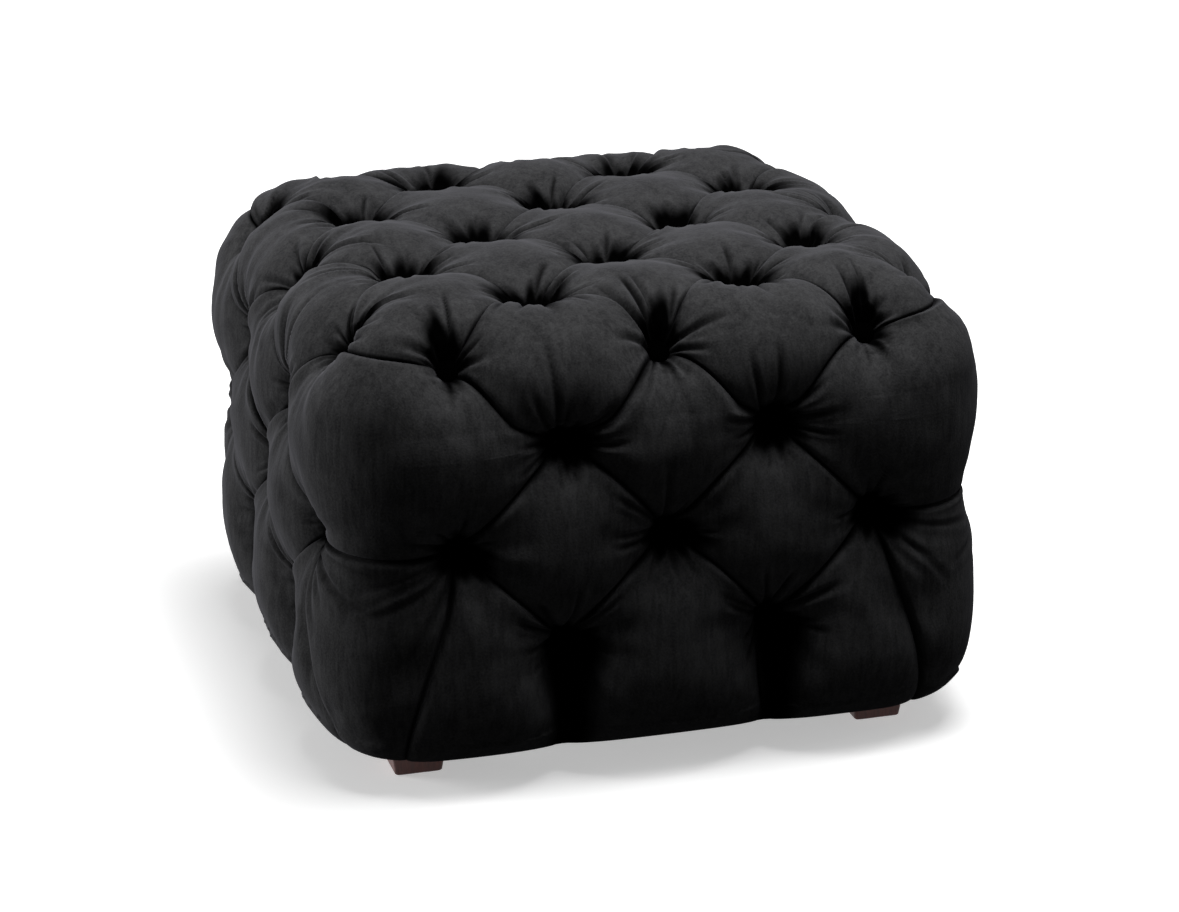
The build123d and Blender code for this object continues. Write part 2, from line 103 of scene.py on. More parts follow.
def add_node(tree: Tree, kind: str, inputs: dict | None = None, **settings: Any) -> bpy.types.Node:
    """Add a node to a tree, with its settings, its values and its links.

    Args:
        tree: The tree that gets the node.
        kind: The node's type name in Blender.
        inputs: A value, or a socket to link, for each input by name or number.
        settings: The node's own properties.

    Returns:
        The new node.
    """
    node = tree.nodes.new(kind)
    for name, value in settings.items():
        setattr(node, name, value)
    for place, value in (inputs or {}).items():
        if isinstance(value, Socket):
            tree.links.new(value, node.inputs[place])
        else:
            node.inputs[place].default_value = value
    return node


def maths(tree: Tree, operation: str, *values: Any) -> Socket:
    """Result of a maths node on numbers or sockets."""
    return add_node(tree, "ShaderNodeMath", dict(enumerate(values)), operation=operation).outputs[0]


def blended(tree: Tree, share: Socket, first: Any, second: Any) -> Socket:
    """Mix of two colours, from the first to the second as the share rises."""
    return add_node(tree, "ShaderNodeMix", {0: share, 6: first, 7: second}, data_type="RGBA").outputs[2]


def per_mm(width: float) -> float:
    """Scale of a pattern that repeats after a width in millimetres."""
    return 1 / (width * MM)


def noise(tree: Tree, place: Socket, scale: float, detail: float, distortion: float = 0.0) -> Socket:
    """Value of a noise texture."""
    inputs = {"Vector": place, "Scale": scale, "Detail": detail, "Distortion": distortion}
    return add_node(tree, "ShaderNodeTexNoise", inputs).outputs["Fac"]


def relief(tree: Tree, height: Socket, strength: float, depth: float, under: Socket | None = None) -> Socket:
    """Normals of a bump, with its depth in millimetres, on top of another bump if one is given."""
    inputs = {"Height": height, "Strength": strength, "Distance": depth * MM}
    if under:
        inputs["Normal"] = under
    return add_node(tree, "ShaderNodeBump", inputs).outputs["Normal"]


def well_kind(out: Array) -> int:
    """0 for a well on the top, 1 on a rolled edge and 2 on a side, by its outward direction."""
    return 0 if out[2] > FLAT else 1 if out[2] > TILTED else 2


def well_axes(out: Array) -> tuple[Array, Array]:
    """Sideways and upward directions at a well, by its outward direction."""
    side = np.cross((0.0, 0.0, 1.0) if abs(out[2]) < FLAT else (0.0, 1.0, 0.0), out)
    side /= np.linalg.norm(side)
    return side, np.cross(out, side)


def smooth(value: Array, low: float | Array, high: float | Array) -> Array:
    """Rise smoothly from 0 at low to 1 at high."""
    share = np.clip((value - low) / (high - low), 0.0, 1.0)
    return share * share * (3 - 2 * share)


def quarter_turn(count: int) -> Array:
    """Exact matrix of some quarter turns about the upright axis."""
    return np.round(np.array(Matrix.Rotation(count * math.pi / 2, 3, "Z")))


def refined(grid: Array) -> Array:
    """Put a smooth row between every two rows of some grids, both ways.

    Args:
        grid: Grids of vectors, one behind the other.

    Returns:
        Grids of nearly twice as many rows and columns.
    """
    for axis in (1, 2):
        rows = np.moveaxis(grid, axis, 0)
        between = (rows[:-1] + rows[1:]) / 2
        between[1:-1] += (rows[1:-2] + rows[2:-1] - rows[:-3] - rows[3:]) / 16
        filled = np.empty((2 * len(rows) - 1, *rows.shape[1:]))
        filled[::2], filled[1::2] = rows, between
        grid = np.moveaxis(filled, 0, axis)
    return grid


def evened(grid: Array) -> Array:
    """Bring each inner place of some grids halfway to the mean of its four neighbours."""
    mixed = grid.copy()
    beside = grid[:, 2:, 1:-1] + grid[:, :-2, 1:-1] + grid[:, 1:-1, 2:] + grid[:, 1:-1, :-2]
    mixed[:, 1:-1, 1:-1] = grid[:, 1:-1, 1:-1] / 2 + beside / 8
    return mixed


def mesh_object(
    name: str, points: Array, faces: list, material: bpy.types.Material | None
) -> bpy.types.Object:
    """Make an object at the origin from points in millimetres.

    Args:
        name: The piece's name.
        points: One row for each vertex.
        faces: Vertex numbers of each face.
        material: The piece's finish.

    Returns:
        The new object, shaded smooth.
    """
    mesh = bpy.data.meshes.new(name)
    mesh.from_pydata((points * MM).tolist(), [], faces)
    mesh.shade_smooth()
    mesh.materials.append(material)
    piece = bpy.data.objects.new(name, mesh)
    bpy.context.scene.collection.objects.link(piece)
    return piece


@dataclass(frozen=True)
class Finish:
    """A finish whose patterns lie on the piece's own coordinates."""

    name: str
    roughness: float

    def material(self) -> bpy.types.Material:
        """Make the finish.

        Returns:
            The new material.
        """
        made = bpy.data.materials.new(self.name)
        made.use_nodes = True
        tree = made.node_tree
        shader = tree.nodes["Principled BSDF"]
        shader.inputs["Roughness"].default_value = self.roughness
        self.paint(tree, shader, add_node(tree, "ShaderNodeTexCoord").outputs["Object"])
        return made

    def paint(self, tree: Tree, shader: bpy.types.Node, place: Socket) -> None:
        """Give the shader its pattern.

        Args:
            tree: The material's tree.
            shader: Its shader.
            place: The piece's own coordinates.
        """
        raise NotImplementedError


@dataclass(frozen=True)
class Velvet(Finish):
    """Cotton velvet with a short cut pile, dyed black.

    The pile swallows light that falls straight in; a painted sheen lightens its base colour where it
    is seen from the side, so crowns look charcoal and rims look grey, and painted shade makes the wells look
    black.
    """

    name: str = "black_cut_velvet"
    roughness: float = 0.95
    pile_dark: str = "2e2e2f"  # looking straight into the pile
    pile_light: str = "454546"
    painted_sheen_colour: str = "5a5a5e"  # painted sheen: the base colour where the pile is seen from the side
    painted_shade_colour: str = "020202"  # painted shade, where the cover's shade attribute is 1
    side_power: float = 4.0  # higher keeps the painted sheen nearer to the rims
    sheen_tint: str = "8a8a90"
    sheen: float = 0.04
    nap_patch: float = 30.0  # size of the patches that the pile is brushed in
    streak_width: float = 4.5  # streaks that the brush leaves, mostly upright
    streak_length: float = 26.0
    pile_grain: float = 1.7  # tufts of the pile, drawn three times too coarse so that they show
    pile_depth: float = 0.5

    def paint(self, tree: Tree, shader: bpy.types.Node, place: Socket) -> None:
        """Lay the nap, the streaks and the pile over each other, then the painted sheen and the painted
        shade.

        Args:
            tree: The material's tree.
            shader: Its shader.
            place: The piece's own coordinates.
        """
        shader.inputs["Specular IOR Level"].default_value = 0.0
        shader.inputs["Sheen Weight"].default_value = self.sheen
        shader.inputs["Sheen Roughness"].default_value = 0.42
        shader.inputs["Sheen Tint"].default_value = linear(self.sheen_tint)
        across, along = per_mm(self.streak_width), per_mm(self.streak_length)
        drawn = add_node(tree, "ShaderNodeMapping", {"Vector": place, "Scale": (across, across, along)})
        nap = noise(tree, place, per_mm(self.nap_patch), 4.0, 0.8)
        streak = noise(tree, drawn.outputs[0], 1.0, 3.0, 0.5)
        pile = noise(tree, place, per_mm(self.pile_grain), 3.0)
        whole = maths(tree, "ADD", maths(tree, "ADD", nap, streak), pile)
        tone = add_node(tree, "ShaderNodeMapRange", {"Value": whole, "From Min": 1.15, "From Max": 1.85})
        lean = relief(tree, streak, 0.35, self.pile_depth)
        normal = relief(tree, pile, 0.45, self.pile_depth, lean)
        brushed = blended(tree, tone.outputs[0], linear(self.pile_dark), linear(self.pile_light))
        # painted sheen: the base colour grows lighter towards painted_sheen_colour where the surface is seen
        # from the side
        facing = add_node(tree, "ShaderNodeLayerWeight", {"Blend": 0.5, "Normal": normal}).outputs["Facing"]
        lit = blended(tree, maths(tree, "POWER", facing, self.side_power), brushed, linear(self.painted_sheen_colour))
        # painted shade: the cover's shade attribute mixes the base colour towards painted_shade_colour
        shade = add_node(tree, "ShaderNodeAttribute", attribute_name="shade").outputs["Fac"]
        tree.links.new(blended(tree, shade, lit, linear(self.painted_shade_colour)), shader.inputs["Base Color"])
        tree.links.new(normal, shader.inputs["Normal"])


@dataclass(frozen=True)
class TimberFinish(Finish):
    """Sawn or planed timber with long grain.

    Grain runs along one axis, so faces along it show streaks and the others show end grain.
    """

    early: str
    late: str
    grain_width: float  # from one dark streak to the next
    along: Grain
    stretch: float = 14.0  # length of a streak over its width
    coat: float = 0.0

    def paint(self, tree: Tree, shader: bpy.types.Node, place: Socket) -> None:
        """Draw the streaks, which are duller and lower where the wood is dark.

        Args:
            tree: The material's tree.
            shader: Its shader.
            place: The piece's own coordinates.
        """
        scale = [per_mm(self.grain_width)] * 3
        scale[self.along.value] /= self.stretch
        drawn = add_node(tree, "ShaderNodeMapping", {"Vector": place, "Scale": scale})
        streak = noise(tree, drawn.outputs[0], 1.0, 6.0, 0.8)
        ramp = add_node(tree, "ShaderNodeValToRGB", {"Fac": streak})
        for stop, position, code in zip(ramp.color_ramp.elements, (0.35, 0.68), (self.late, self.early)):
            stop.position, stop.color = position, linear(code)
        tree.links.new(ramp.outputs["Color"], shader.inputs["Base Color"])
        dull, gloss = self.roughness + 0.12, self.roughness - 0.08
        rough = add_node(tree, "ShaderNodeMapRange", {"Value": streak, "To Min": dull, "To Max": gloss})
        tree.links.new(rough.outputs[0], shader.inputs["Roughness"])
        tree.links.new(relief(tree, streak, 0.2, 0.3), shader.inputs["Normal"])
        shader.inputs["Coat Weight"].default_value = self.coat
        shader.inputs["Coat Roughness"].default_value = 0.25


@dataclass(frozen=True)
class Plywood(Finish):
    """Rotary-cut birch plywood, unfinished: pale faces with a wide wavy figure."""

    name: str = "birch_plywood"
    roughness: float = 0.7
    face: str = "c9a878"
    figure: str = "b48f5e"
    figure_width: float = 26.0
    wave_share: float = 0.314  # scale of Blender's wave texture over waves for each metre

    def paint(self, tree: Tree, shader: bpy.types.Node, place: Socket) -> None:
        """Draw the figure.

        Args:
            tree: The material's tree.
            shader: Its shader.
            place: The piece's own coordinates.
        """
        inputs = {"Vector": place, "Scale": self.wave_share / (self.figure_width * MM), "Distortion": 6.0}
        inputs |= {"Detail": 3.0, "Detail Scale": 0.6}
        wavy = add_node(tree, "ShaderNodeTexWave", inputs, bands_direction="DIAGONAL").outputs["Fac"]
        colour = blended(tree, wavy, linear(self.face), linear(self.figure))
        tree.links.new(colour, shader.inputs["Base Color"])
        tree.links.new(relief(tree, wavy, 0.1, 0.2), shader.inputs["Normal"])


@dataclass(frozen=True)
class Grained(Finish):
    """A material that shows its surface as fine grains: foam cells, cloth fibres or drawn metal."""

    light: str
    dark: str
    grain: float
    metallic: float = 0.0
    depth: float = 0.3  # height of the grains
    gloss: float = 0.5

    def paint(self, tree: Tree, shader: bpy.types.Node, place: Socket) -> None:
        """Draw the grains.

        Args:
            tree: The material's tree.
            shader: Its shader.
            place: The piece's own coordinates.
        """
        shader.inputs["Metallic"].default_value = self.metallic
        shader.inputs["Specular IOR Level"].default_value = self.gloss
        cells = noise(tree, place, per_mm(self.grain), 4.0)
        colour = blended(tree, cells, linear(self.dark), linear(self.light))
        tree.links.new(colour, shader.inputs["Base Color"])
        tree.links.new(relief(tree, cells, 0.4, self.depth), shader.inputs["Normal"])


# Beech, planed and stained dark red-brown under a thin satin lacquer: fine streaks and a soft gloss
STAINED_BEECH = TimberFinish("stained_beech", 0.45, "632c24", "3d1913", 2.2, Grain.UPRIGHT, coat=0.1)
# Pine offcuts, sawn: pale with wide orange late wood
SAWN_PINE = TimberFinish("sawn_pine", 0.75, "d9b98a", "b98a52", 5.0, Grain.UPRIGHT)
# Polyurethane foam, cut by a hot wire: matt cream with open cells
CUT_FOAM = Grained("polyurethane_foam", 0.95, "e6dfc2", "d2c79f", 1.8, depth=0.5)
# Zinc plated steel: bright grey with a faint crystal figure
ZINC_STEEL = Grained("zinc_plated_steel", 0.38, "c3c6c9", "9da1a6", 2.5, metallic=1.0, depth=0.05)
# Galvanised staple wire: thin, bright and drawn smooth
STAPLE_WIRE = Grained("galvanised_wire", 0.32, "b9bcc0", "8f9398", 1.0, metallic=1.0, depth=0.03)
# Spun-bonded polypropylene, black: matt with the mottle of pressed fibres
DUST_CLOTH = Grained("spunbond_cloth", 0.85, "2a2a2c", "151516", 1.4, depth=0.25)
# Waxed flax twine: straw-coloured with twisted yarns
FLAX_TWINE = Grained("waxed_flax_twine", 0.7, "c8b48a", "9c8557", 0.8)
# The same velvet on the buttons, painted near black as painted shade, since they sit at the bottom of the
# wells
SHADED_BUTTON_VELVET = Grained("button_velvet_painted_shade", 1.0, "020202", "000000", 1.6, gloss=0.0)


@dataclass(frozen=True)
class Patch:
    """A four-sided piece of the cover: a whole puff, or half of one.

    The corners run round the patch. Across and down are the shares of the whole puff that the patch
    covers, from its first corner to its second and from its first to its last.
    """

    corners: tuple[Array, Array, Array, Array]
    across: tuple[float, float] = (0.0, 1.0)
    down: tuple[float, float] = (0.0, 1.0)
    round_first: bool = False  # the side from the first corner to the second goes round an upright edge
    round_last: bool = False  # so does the side opposite
    second_half: bool = False
    quarters: int = 0  # quarter turns from the front left

    def turned(self, quarters: int) -> "Patch":
        """The same patch on another quarter of the cover."""
        return replace(self, quarters=quarters)


@dataclass(frozen=True)
class Tufting:
    """Where the wells of the tufting lie, on the rounded block at the bottom of the wells."""

    width: float = 560.0  # crown to crown, the same both ways
    height: float = 390.0  # floor to the crown of the top
    foot_height: float = 25.0
    pitches: int = 3
    edge_allowance: float = 59.0
    first_row_drop: float = 110.0
    skirt_height: float = 91.0
    puff_depth: float = 40.0
    edge_radius: float = 50.0  # rolled top edges
    corner_radius: float = 60.0  # upright edges
    hem_lean: float = 40.0  # how far the outer pleats lean towards the corners at the hem
    pleat_bow: float = 6.5  # how far a pleat strays from a straight line

    @property
    def half_pitch(self) -> float:
        """Half the distance between two wells of a row."""
        return (self.width - self.edge_allowance) / self.pitches / 2

    @property
    def half(self) -> float:
        """Half the width of the block."""
        return self.width / 2 - self.puff_depth

    @property
    def top(self) -> float:
        """Height of the block."""
        return self.height - self.puff_depth

    @property
    def row_drop(self) -> float:
        """Height from one row of wells on a side to the next."""
        return (self.height - self.foot_height - self.first_row_drop - self.skirt_height) / 2

    def top_well(self, column: int, line: int) -> Array:
        """A well on the top."""
        return np.array((column * self.half_pitch, line * self.half_pitch, self.top))

    def edge_well(self, column: int) -> Array:
        """A well on the rolled front edge."""
        fall = self.edge_radius * (1 - math.cos(math.pi / 4))
        return np.array((column * self.half_pitch, fall - self.half, self.top - fall))

    def side_well(self, column: int, row: int) -> Array:
        """A well on the front; row 1 is the highest."""
        level = self.height - self.first_row_drop - (row - 1) * self.row_drop
        return np.array((column * self.half_pitch, -self.half, level))

    def hem_point(self, column: int) -> Array:
        """A point on the hem of the front, where the outer pleats lean towards the corners."""
        straight = self.half - self.corner_radius
        place = column * self.half_pitch + math.copysign(self.hem_lean, column) * (abs(column) == 2)
        angle = max(abs(place) - straight, 0.0) / self.corner_radius
        x = min(abs(place), straight) + self.corner_radius * math.sin(angle)
        y = straight + self.corner_radius * math.cos(angle)
        return np.array((math.copysign(x, column), -y, self.foot_height))

    def wells(self) -> Array:
        """All wells.

        Returns:
            One row for each well.
        """
        steps = range(-2, 3)
        inner = [self.top_well(i, j) for i in steps for j in steps if (i + j) % 2]
        front = [self.edge_well(i) for i in (-2, 0, 2)]
        front += [self.side_well(i, row) for row in (1, 2, 3) for i in steps if (i + row) % 2 == 0]
        return np.array(inner + [quarter_turn(count) @ well for count in range(4) for well in front])

    def settle(self, points: Array) -> tuple[Array, Array]:
        """Bring points to the block.

        Args:
            points: Points near the block's skin.

        Returns:
            The nearest points on the skin, and the outward directions there.
        """
        inner = self.half - self.corner_radius
        plan = points[..., :2]
        square = np.clip(plan, -inner, inner)
        lean = plan - square
        reach = np.linalg.norm(lean, axis=-1, keepdims=True)
        kept = np.minimum(reach, self.corner_radius - self.edge_radius)
        level = np.minimum(points[..., 2:], self.top - self.edge_radius)
        spine = np.concatenate((square + lean * kept / np.maximum(reach, TINY), level), axis=-1)
        away = points - spine
        outward = away / np.maximum(np.linalg.norm(away, axis=-1, keepdims=True), TINY)
        return spine + self.edge_radius * outward, outward

    def round_corner(self, end: Array, shares: Array) -> Array:
        """A level path round the upright front left edge, to a well on the front from its mirror image.

        Args:
            end: The well on the front.
            shares: Places along the path, from 0 to 1.

        Returns:
            One point for each share.
        """
        centre = self.corner_radius - self.half
        ahead, aside = end[0] - centre, centre - end[1]
        radius = math.hypot(min(ahead, 0.0), aside)
        arc = radius * math.pi / 4
        whole = ahead + arc if ahead > 0 else radius * (math.pi / 4 - math.atan2(-ahead, aside))
        travel = (2 * shares - 1) * whole
        angle = np.clip(travel, -arc, arc) / radius
        straight = np.abs(travel) - np.minimum(np.abs(travel), arc)
        x = centre - radius * np.sin(math.pi / 4 - angle) + np.where(travel > 0, straight, 0)
        y = centre - radius * np.cos(math.pi / 4 - angle) + np.where(travel < 0, straight, 0)
        return np.stack((x, y, np.full_like(x, end[2])), axis=-1)

    def spread(self, patch: Patch, shares: Array) -> Array:
        """Points of a patch before they are brought to the block.

        Args:
            patch: The patch.
            shares: Places along each of its sides, from 0 to 1.

        Returns:
            A grid of points, across and then down.
        """
        a, b, c, d = patch.corners
        u, v = shares[:, None, None], shares[None, :, None]
        grid = (1 - u) * (1 - v) * a + u * (1 - v) * b + u * v * c + (1 - u) * v * d
        if patch.round_first:
            grid += (1 - v) * (self.round_corner(b, shares)[:, None] - (a + u * (b - a)))
        if patch.round_last:
            grid += v * (self.round_corner(c, shares)[:, None] - (d + u * (c - d)))
        turn = quarter_turn(patch.quarters)
        grid = grid @ turn.T
        a, b, c, d = (turn @ corner for corner in patch.corners)
        if patch.across[0] == 0:
            grid += (1 - u) * self.bow(a, d, shares)[None]
        if patch.across[1] == 1:
            grid += u * self.bow(b, c, shares)[None]
        if patch.down[0] == 0 and not patch.round_first:
            grid += (1 - v) * self.bow(a, b, shares)[:, None]
        if patch.down[1] == 1 and not patch.round_last:
            grid += v * self.bow(d, c, shares)[:, None]
        return grid

    def bow(self, start: Array, end: Array, shares: Array) -> Array:
        """How far a pleat strays from the straight line between its wells.

        Args:
            start: One end.
            end: The other end.
            shares: Places along the pleat, from 0 to 1.

        Returns:
            One offset for each share, the same from either end.
        """
        middle = (start + end) / 2
        _, out = self.settle(middle)
        along = end - start
        along = along * math.copysign(1.0, along @ (0.83, 0.41, 0.37))
        amount = self.pleat_bow * math.sin(middle @ (0.31, 0.17, 0.23))
        away = amount * np.cross(out, along / np.linalg.norm(along))
        away[2] *= min(start[2], end[2]) > self.foot_height
        return np.sin(math.pi * shares)[:, None] * away

    def patches(self) -> list[Patch]:
        """All patches of the cover.

        Returns:
            The patches; one marked as a second half goes with the one before it.
        """
        top, edge, side, hem = self.top_well, self.edge_well, self.side_well, self.hem_point
        first, last, upper = (0.0, 0.5), (0.5, 1.0), (0.0, 0.5)
        both = {"round_first": True, "round_last": True}

        def over(well: Array) -> Array:
            """The well's mirror image across the upright front left edge."""
            return well[[1, 0, 2]]

        quarter = [
            Patch((top(-2, -1), top(-1, 0), top(0, -1), top(-1, -2))),
            Patch((top(0, -1), top(1, -2), edge(0), top(-1, -2))),
            Patch((over(edge(-2)), edge(-2), top(-1, -2), top(-2, -1)), round_first=True),
            Patch((side(-1, 1), edge(0), side(1, 1), side(0, 2))),
        ]
        for i in (-1, 1):
            quarter.append(Patch((edge(i - 1), top(i, -2), edge(i + 1), side(i, 1))))
            quarter.append(Patch((side(i - 1, 2), side(i, 1), side(i + 1, 2), side(i, 3))))
        ring = edge(-2), side(-1, 1), side(-2, 2)
        quarter += [
            Patch((over(ring[0]), ring[0], ring[1], over(ring[1])), down=upper, **both),
            Patch((over(ring[1]), ring[1], ring[2], over(ring[2])), down=last, second_half=True, **both),
            Patch((over(ring[2]), ring[2], hem(-2), over(hem(-2))), down=upper, **both),
            Patch((side(-2, 2), side(-1, 3), hem(-1), hem(-2)), down=upper),
            Patch((side(-1, 3), side(0, 2), hem(0), hem(-1)), across=first, down=upper),
            Patch((side(0, 2), side(1, 3), hem(1), hem(0)), across=last, down=upper, second_half=True),
            Patch((side(1, 3), side(2, 2), hem(2), hem(1)), down=upper),
        ]
        middle = Patch((top(-1, 0), top(0, 1), top(1, 0), top(0, -1)))
        return [middle] + [patch.turned(count) for count in range(4) for patch in quarter]


@dataclass(frozen=True)
class TuftedCover:
    """The velvet cover: puffs between the wells, pleats from well to well, and the hem."""

    tufting: Tufting = Tufting()
    rows: int = 72  # mesh rows along a pleat, a multiple of eight
    valley: float = 27.0  # pleat halfway between two wells, above the bottom of the wells
    fullness: float = 0.62  # lower is flatter on the crown and steeper at the pleats
    throat: float = 7.0  # radius of a well at its bottom
    pit: float = 7.5  # how far the steep part of a well spreads
    dish: float = 56.0  # how far its shallow mouth spreads
    dish_share: float = 0.5  # share of the depth that the mouth has
    mouths: tuple[float, float, float] = (1.3, 1.1, 1.2)  # width of the wells on top, edges and sides
    # width, height, rise and sideways shift of the painted shade zones in them
    shade_zones: tuple[tuple[float, float, float, float], ...] = (
        (28.0, 28.0, 0.0, 0.0),
        (14.5, 20.0, 6.0, 0.0),
        (21.0, 18.0, -3.0, 4.0),
    )
    shade_lobes: tuple[tuple[int, float], ...] = ((2, 0.14), (3, 0.1), (7, 0.12), (13, 0.08))  # raggedness of the painted shade zones
    shade_edge: float = 0.3  # softness of the zones' edge
    low_slit: float = 90.0  # how far the lowest wells run down towards the hem
    crease: float = 4.5  # extra depth of the pleat's fold
    crease_reach: float = 1.6
    lip: float = 3.2  # the fold that lies over the other
    lip_reach: float = 4.0
    fold_reach: float = 125.0  # no fold or ripple goes further from its well
    fold_bend: float = 0.004  # most that a fold curves, for each millimetre
    same_face: tuple[float, float] = (0.3, 0.66)  # how alike directions are where folds end and are whole
    fold_counts: tuple[int, int] = (10, 13)  # folds round a well, the second not included
    fold_lengths: tuple[float, float] = (24.0, 46.0)
    fold_depths: tuple[float, float] = (3.2, 5.6)
    fold_widths: tuple[float, float] = (1.2, 2.0)
    # painted shade in the folds' grooves, weakest and strongest
    fold_shades: tuple[float, float] = (0.45, 1.0)
    upper_lengths: tuple[float, float] = (4.0, 32.0)  # added to folds on the upper side of a well
    upper_depth: float = 2.4
    long_falls: tuple[int, ...] = (12, 25, 38, 50, 63)  # degrees that the corners' long folds run down at
    long_lengths: tuple[float, float] = (55.0, 95.0)
    long_depths: tuple[float, float] = (2.0, 3.6)
    # painted shade in the corners' long folds
    long_shade: float = 0.35
    ripple: float = 0.45  # soft waves that run out from a well
    outer_column: float = 150.0  # wells further out than this, both ways, have long folds
    puff_spread: float = 1.3  # how much the puffs differ in height
    hem_start: float = 100.0  # height below which the skirt draws in
    hem_keep: float = 0.14  # share of the swell that is left at the hem
    backing: float = 8.0
    hem_width: float = 27.0
    hem_thickness: float = 1.0
    pinned_pleat: float = 2.5  # the cloth is held this near to a pleat
    pinned_well: float = 0.5  # where less of its height than this is left
    pinned_hem: float = 0.75  # and beyond this share of the way to the hem
    coarse: int = 4  # mesh rows to one row of the cloth
    frames: int = 20  # how long the cloth settles
    spare_cloth: float = 0.012  # share of cloth beyond what lies flat
    start_short: float = 3.0  # how far short of its crowns the cloth starts
    most_shift: float = 6.0
    seed: int = 7

    def stations(self) -> Array:
        """Shares along a pleat, closer together at both ends.

        Returns:
            Shares from 0 to 1.
        """
        half = self.rows // 2
        count = np.linspace(0, 1, half)
        step = 0.45 + 0.55 * smooth(count, 0.0, 0.3) + 0.8 * smooth(count, 0.7, 1.0)
        rise = 0.5 * np.concatenate(([0.0], np.cumsum(step))) / step.sum()
        return np.concatenate((rise, 1 - rise[-2::-1]))

    def gathers(self, points: Array, ways: Array, wells: Array, outs: Array) -> tuple[Array, Array]:
        """Short folds that fan out from each well, longest on its upper side.

        Args:
            points: Points on the block's skin.
            ways: Outward directions at the points.
            wells: The wells.
            outs: Outward directions at the wells.

        Returns:
            Height that the folds add at each point, and the painted shade in the folds there.
        """
        rng = np.random.default_rng(self.seed)
        height = np.zeros(len(points))
        inside = np.zeros(len(points))
        for well, out in zip(wells, outs):
            side, rise = well_axes(out)
            reach = points - well
            near = np.flatnonzero((reach**2).sum(1) < self.fold_reach**2)
            same_face = smooth(ways[near] @ out, *self.same_face)
            x, y = reach[near] @ side, reach[near] @ rise
            radius = np.hypot(x, y)
            count = rng.integers(*self.fold_counts)
            at_corner = min(abs(well[:2])) > self.outer_column
            rays = []
            for place in range(count):
                angle = 2 * math.pi * (place + rng.uniform(0.15, 0.85)) / count
                upper = 0.5 + 0.5 * math.sin(angle) if abs(out[2]) < FLAT else 0.8
                length = rng.uniform(*self.fold_lengths) + upper * rng.uniform(*self.upper_lengths)
                black = rng.uniform(*self.fold_shades) * (0.75 + 0.25 * upper)
                depth = rng.uniform(*self.fold_depths) + self.upper_depth * upper
                rays.append((angle, length * (0.7 if at_corner else 1.0), depth, black))
            if well_kind(out) == 2 and at_corner:
                outer = math.copysign(1.0, well @ side)
                for fall in np.radians(self.long_falls):
                    angle = math.atan2(-math.sin(fall), outer * math.cos(fall)) + rng.uniform(-0.08, 0.08)
                    length, depth = rng.uniform(*self.long_lengths), rng.uniform(*self.long_depths)
                    rays.append((angle, length, depth, self.long_shade))
            for angle, length, depth, black in rays:
                width = rng.uniform(*self.fold_widths)
                bend = rng.uniform(-self.fold_bend, self.fold_bend)
                ahead = x * math.cos(angle) + y * math.sin(angle)
                beside = y * math.cos(angle) - x * math.sin(angle) + bend * ahead**2
                spread = (beside / (width * (0.7 + np.maximum(ahead, 0) / 60.0))) ** 2
                left = np.clip(1 - ahead / length, 0.03, 1)
                fade = same_face * smooth(ahead, 6.0, 15.0) * left**0.8 * (ahead < length)
                groove = np.exp(-spread) - 0.45 * np.exp(-((np.sqrt(spread) - 2.1) ** 2))
                height[near] -= depth * fade * groove
                # painted shade along the fold's groove
                dark = np.exp(-0.7 * spread / np.sqrt(left)) * smooth(fade, 0.05, 0.35) * black
                inside[near] = np.maximum(inside[near], dark)
            angle = np.arctan2(y, x)
            ripple = sum(np.sin(count * angle + rng.uniform(0, 2 * math.pi)) for count in (5, 8, 13))
            ring = smooth(radius, 10.0, 28.0) * smooth(radius, 82.0, 40.0)
            height[near] += self.ripple * ripple * same_face * ring
        return height, inside

    def unevenness(self, points: Array) -> Array:
        """Slow random swell of the stuffing.

        Args:
            points: Points on the block's skin.

        Returns:
            Height that it adds at each point.
        """
        rng = np.random.default_rng(self.seed + 1)
        height = np.zeros(len(points))
        for _ in range(14):
            way = rng.normal(size=3)
            way *= 2 * math.pi / rng.uniform(55.0, 140.0) / np.linalg.norm(way)
            height += rng.uniform(0.15, 0.5) * np.sin(points @ way + rng.uniform(0, 2 * math.pi))
        return height

    def skin(self) -> tuple[Array, list, Array]:
        """Shape the outside of the cover down to the hem, then the hem and the lining.

        Returns:
            Points, faces, and the painted shade at each point.
        """
        tuft = self.tufting
        patches = tuft.patches()
        share = self.stations()
        u, v = np.meshgrid(share, share, indexing="ij")
        base, outward = tuft.settle(np.array([tuft.spread(patch, share) for patch in patches]))
        flat = base[:, [0, -1, -1, 0], [0, 0, -1, -1]]
        centres = base[:, self.rows // 2, self.rows // 2]

        rng = np.random.default_rng(self.seed + 2)
        own: list[float] = []
        for patch in patches:
            own.append(own[-1] if patch.second_half else rng.normal(0, self.puff_spread))
        puff_extra = np.array(own)[:, None, None]

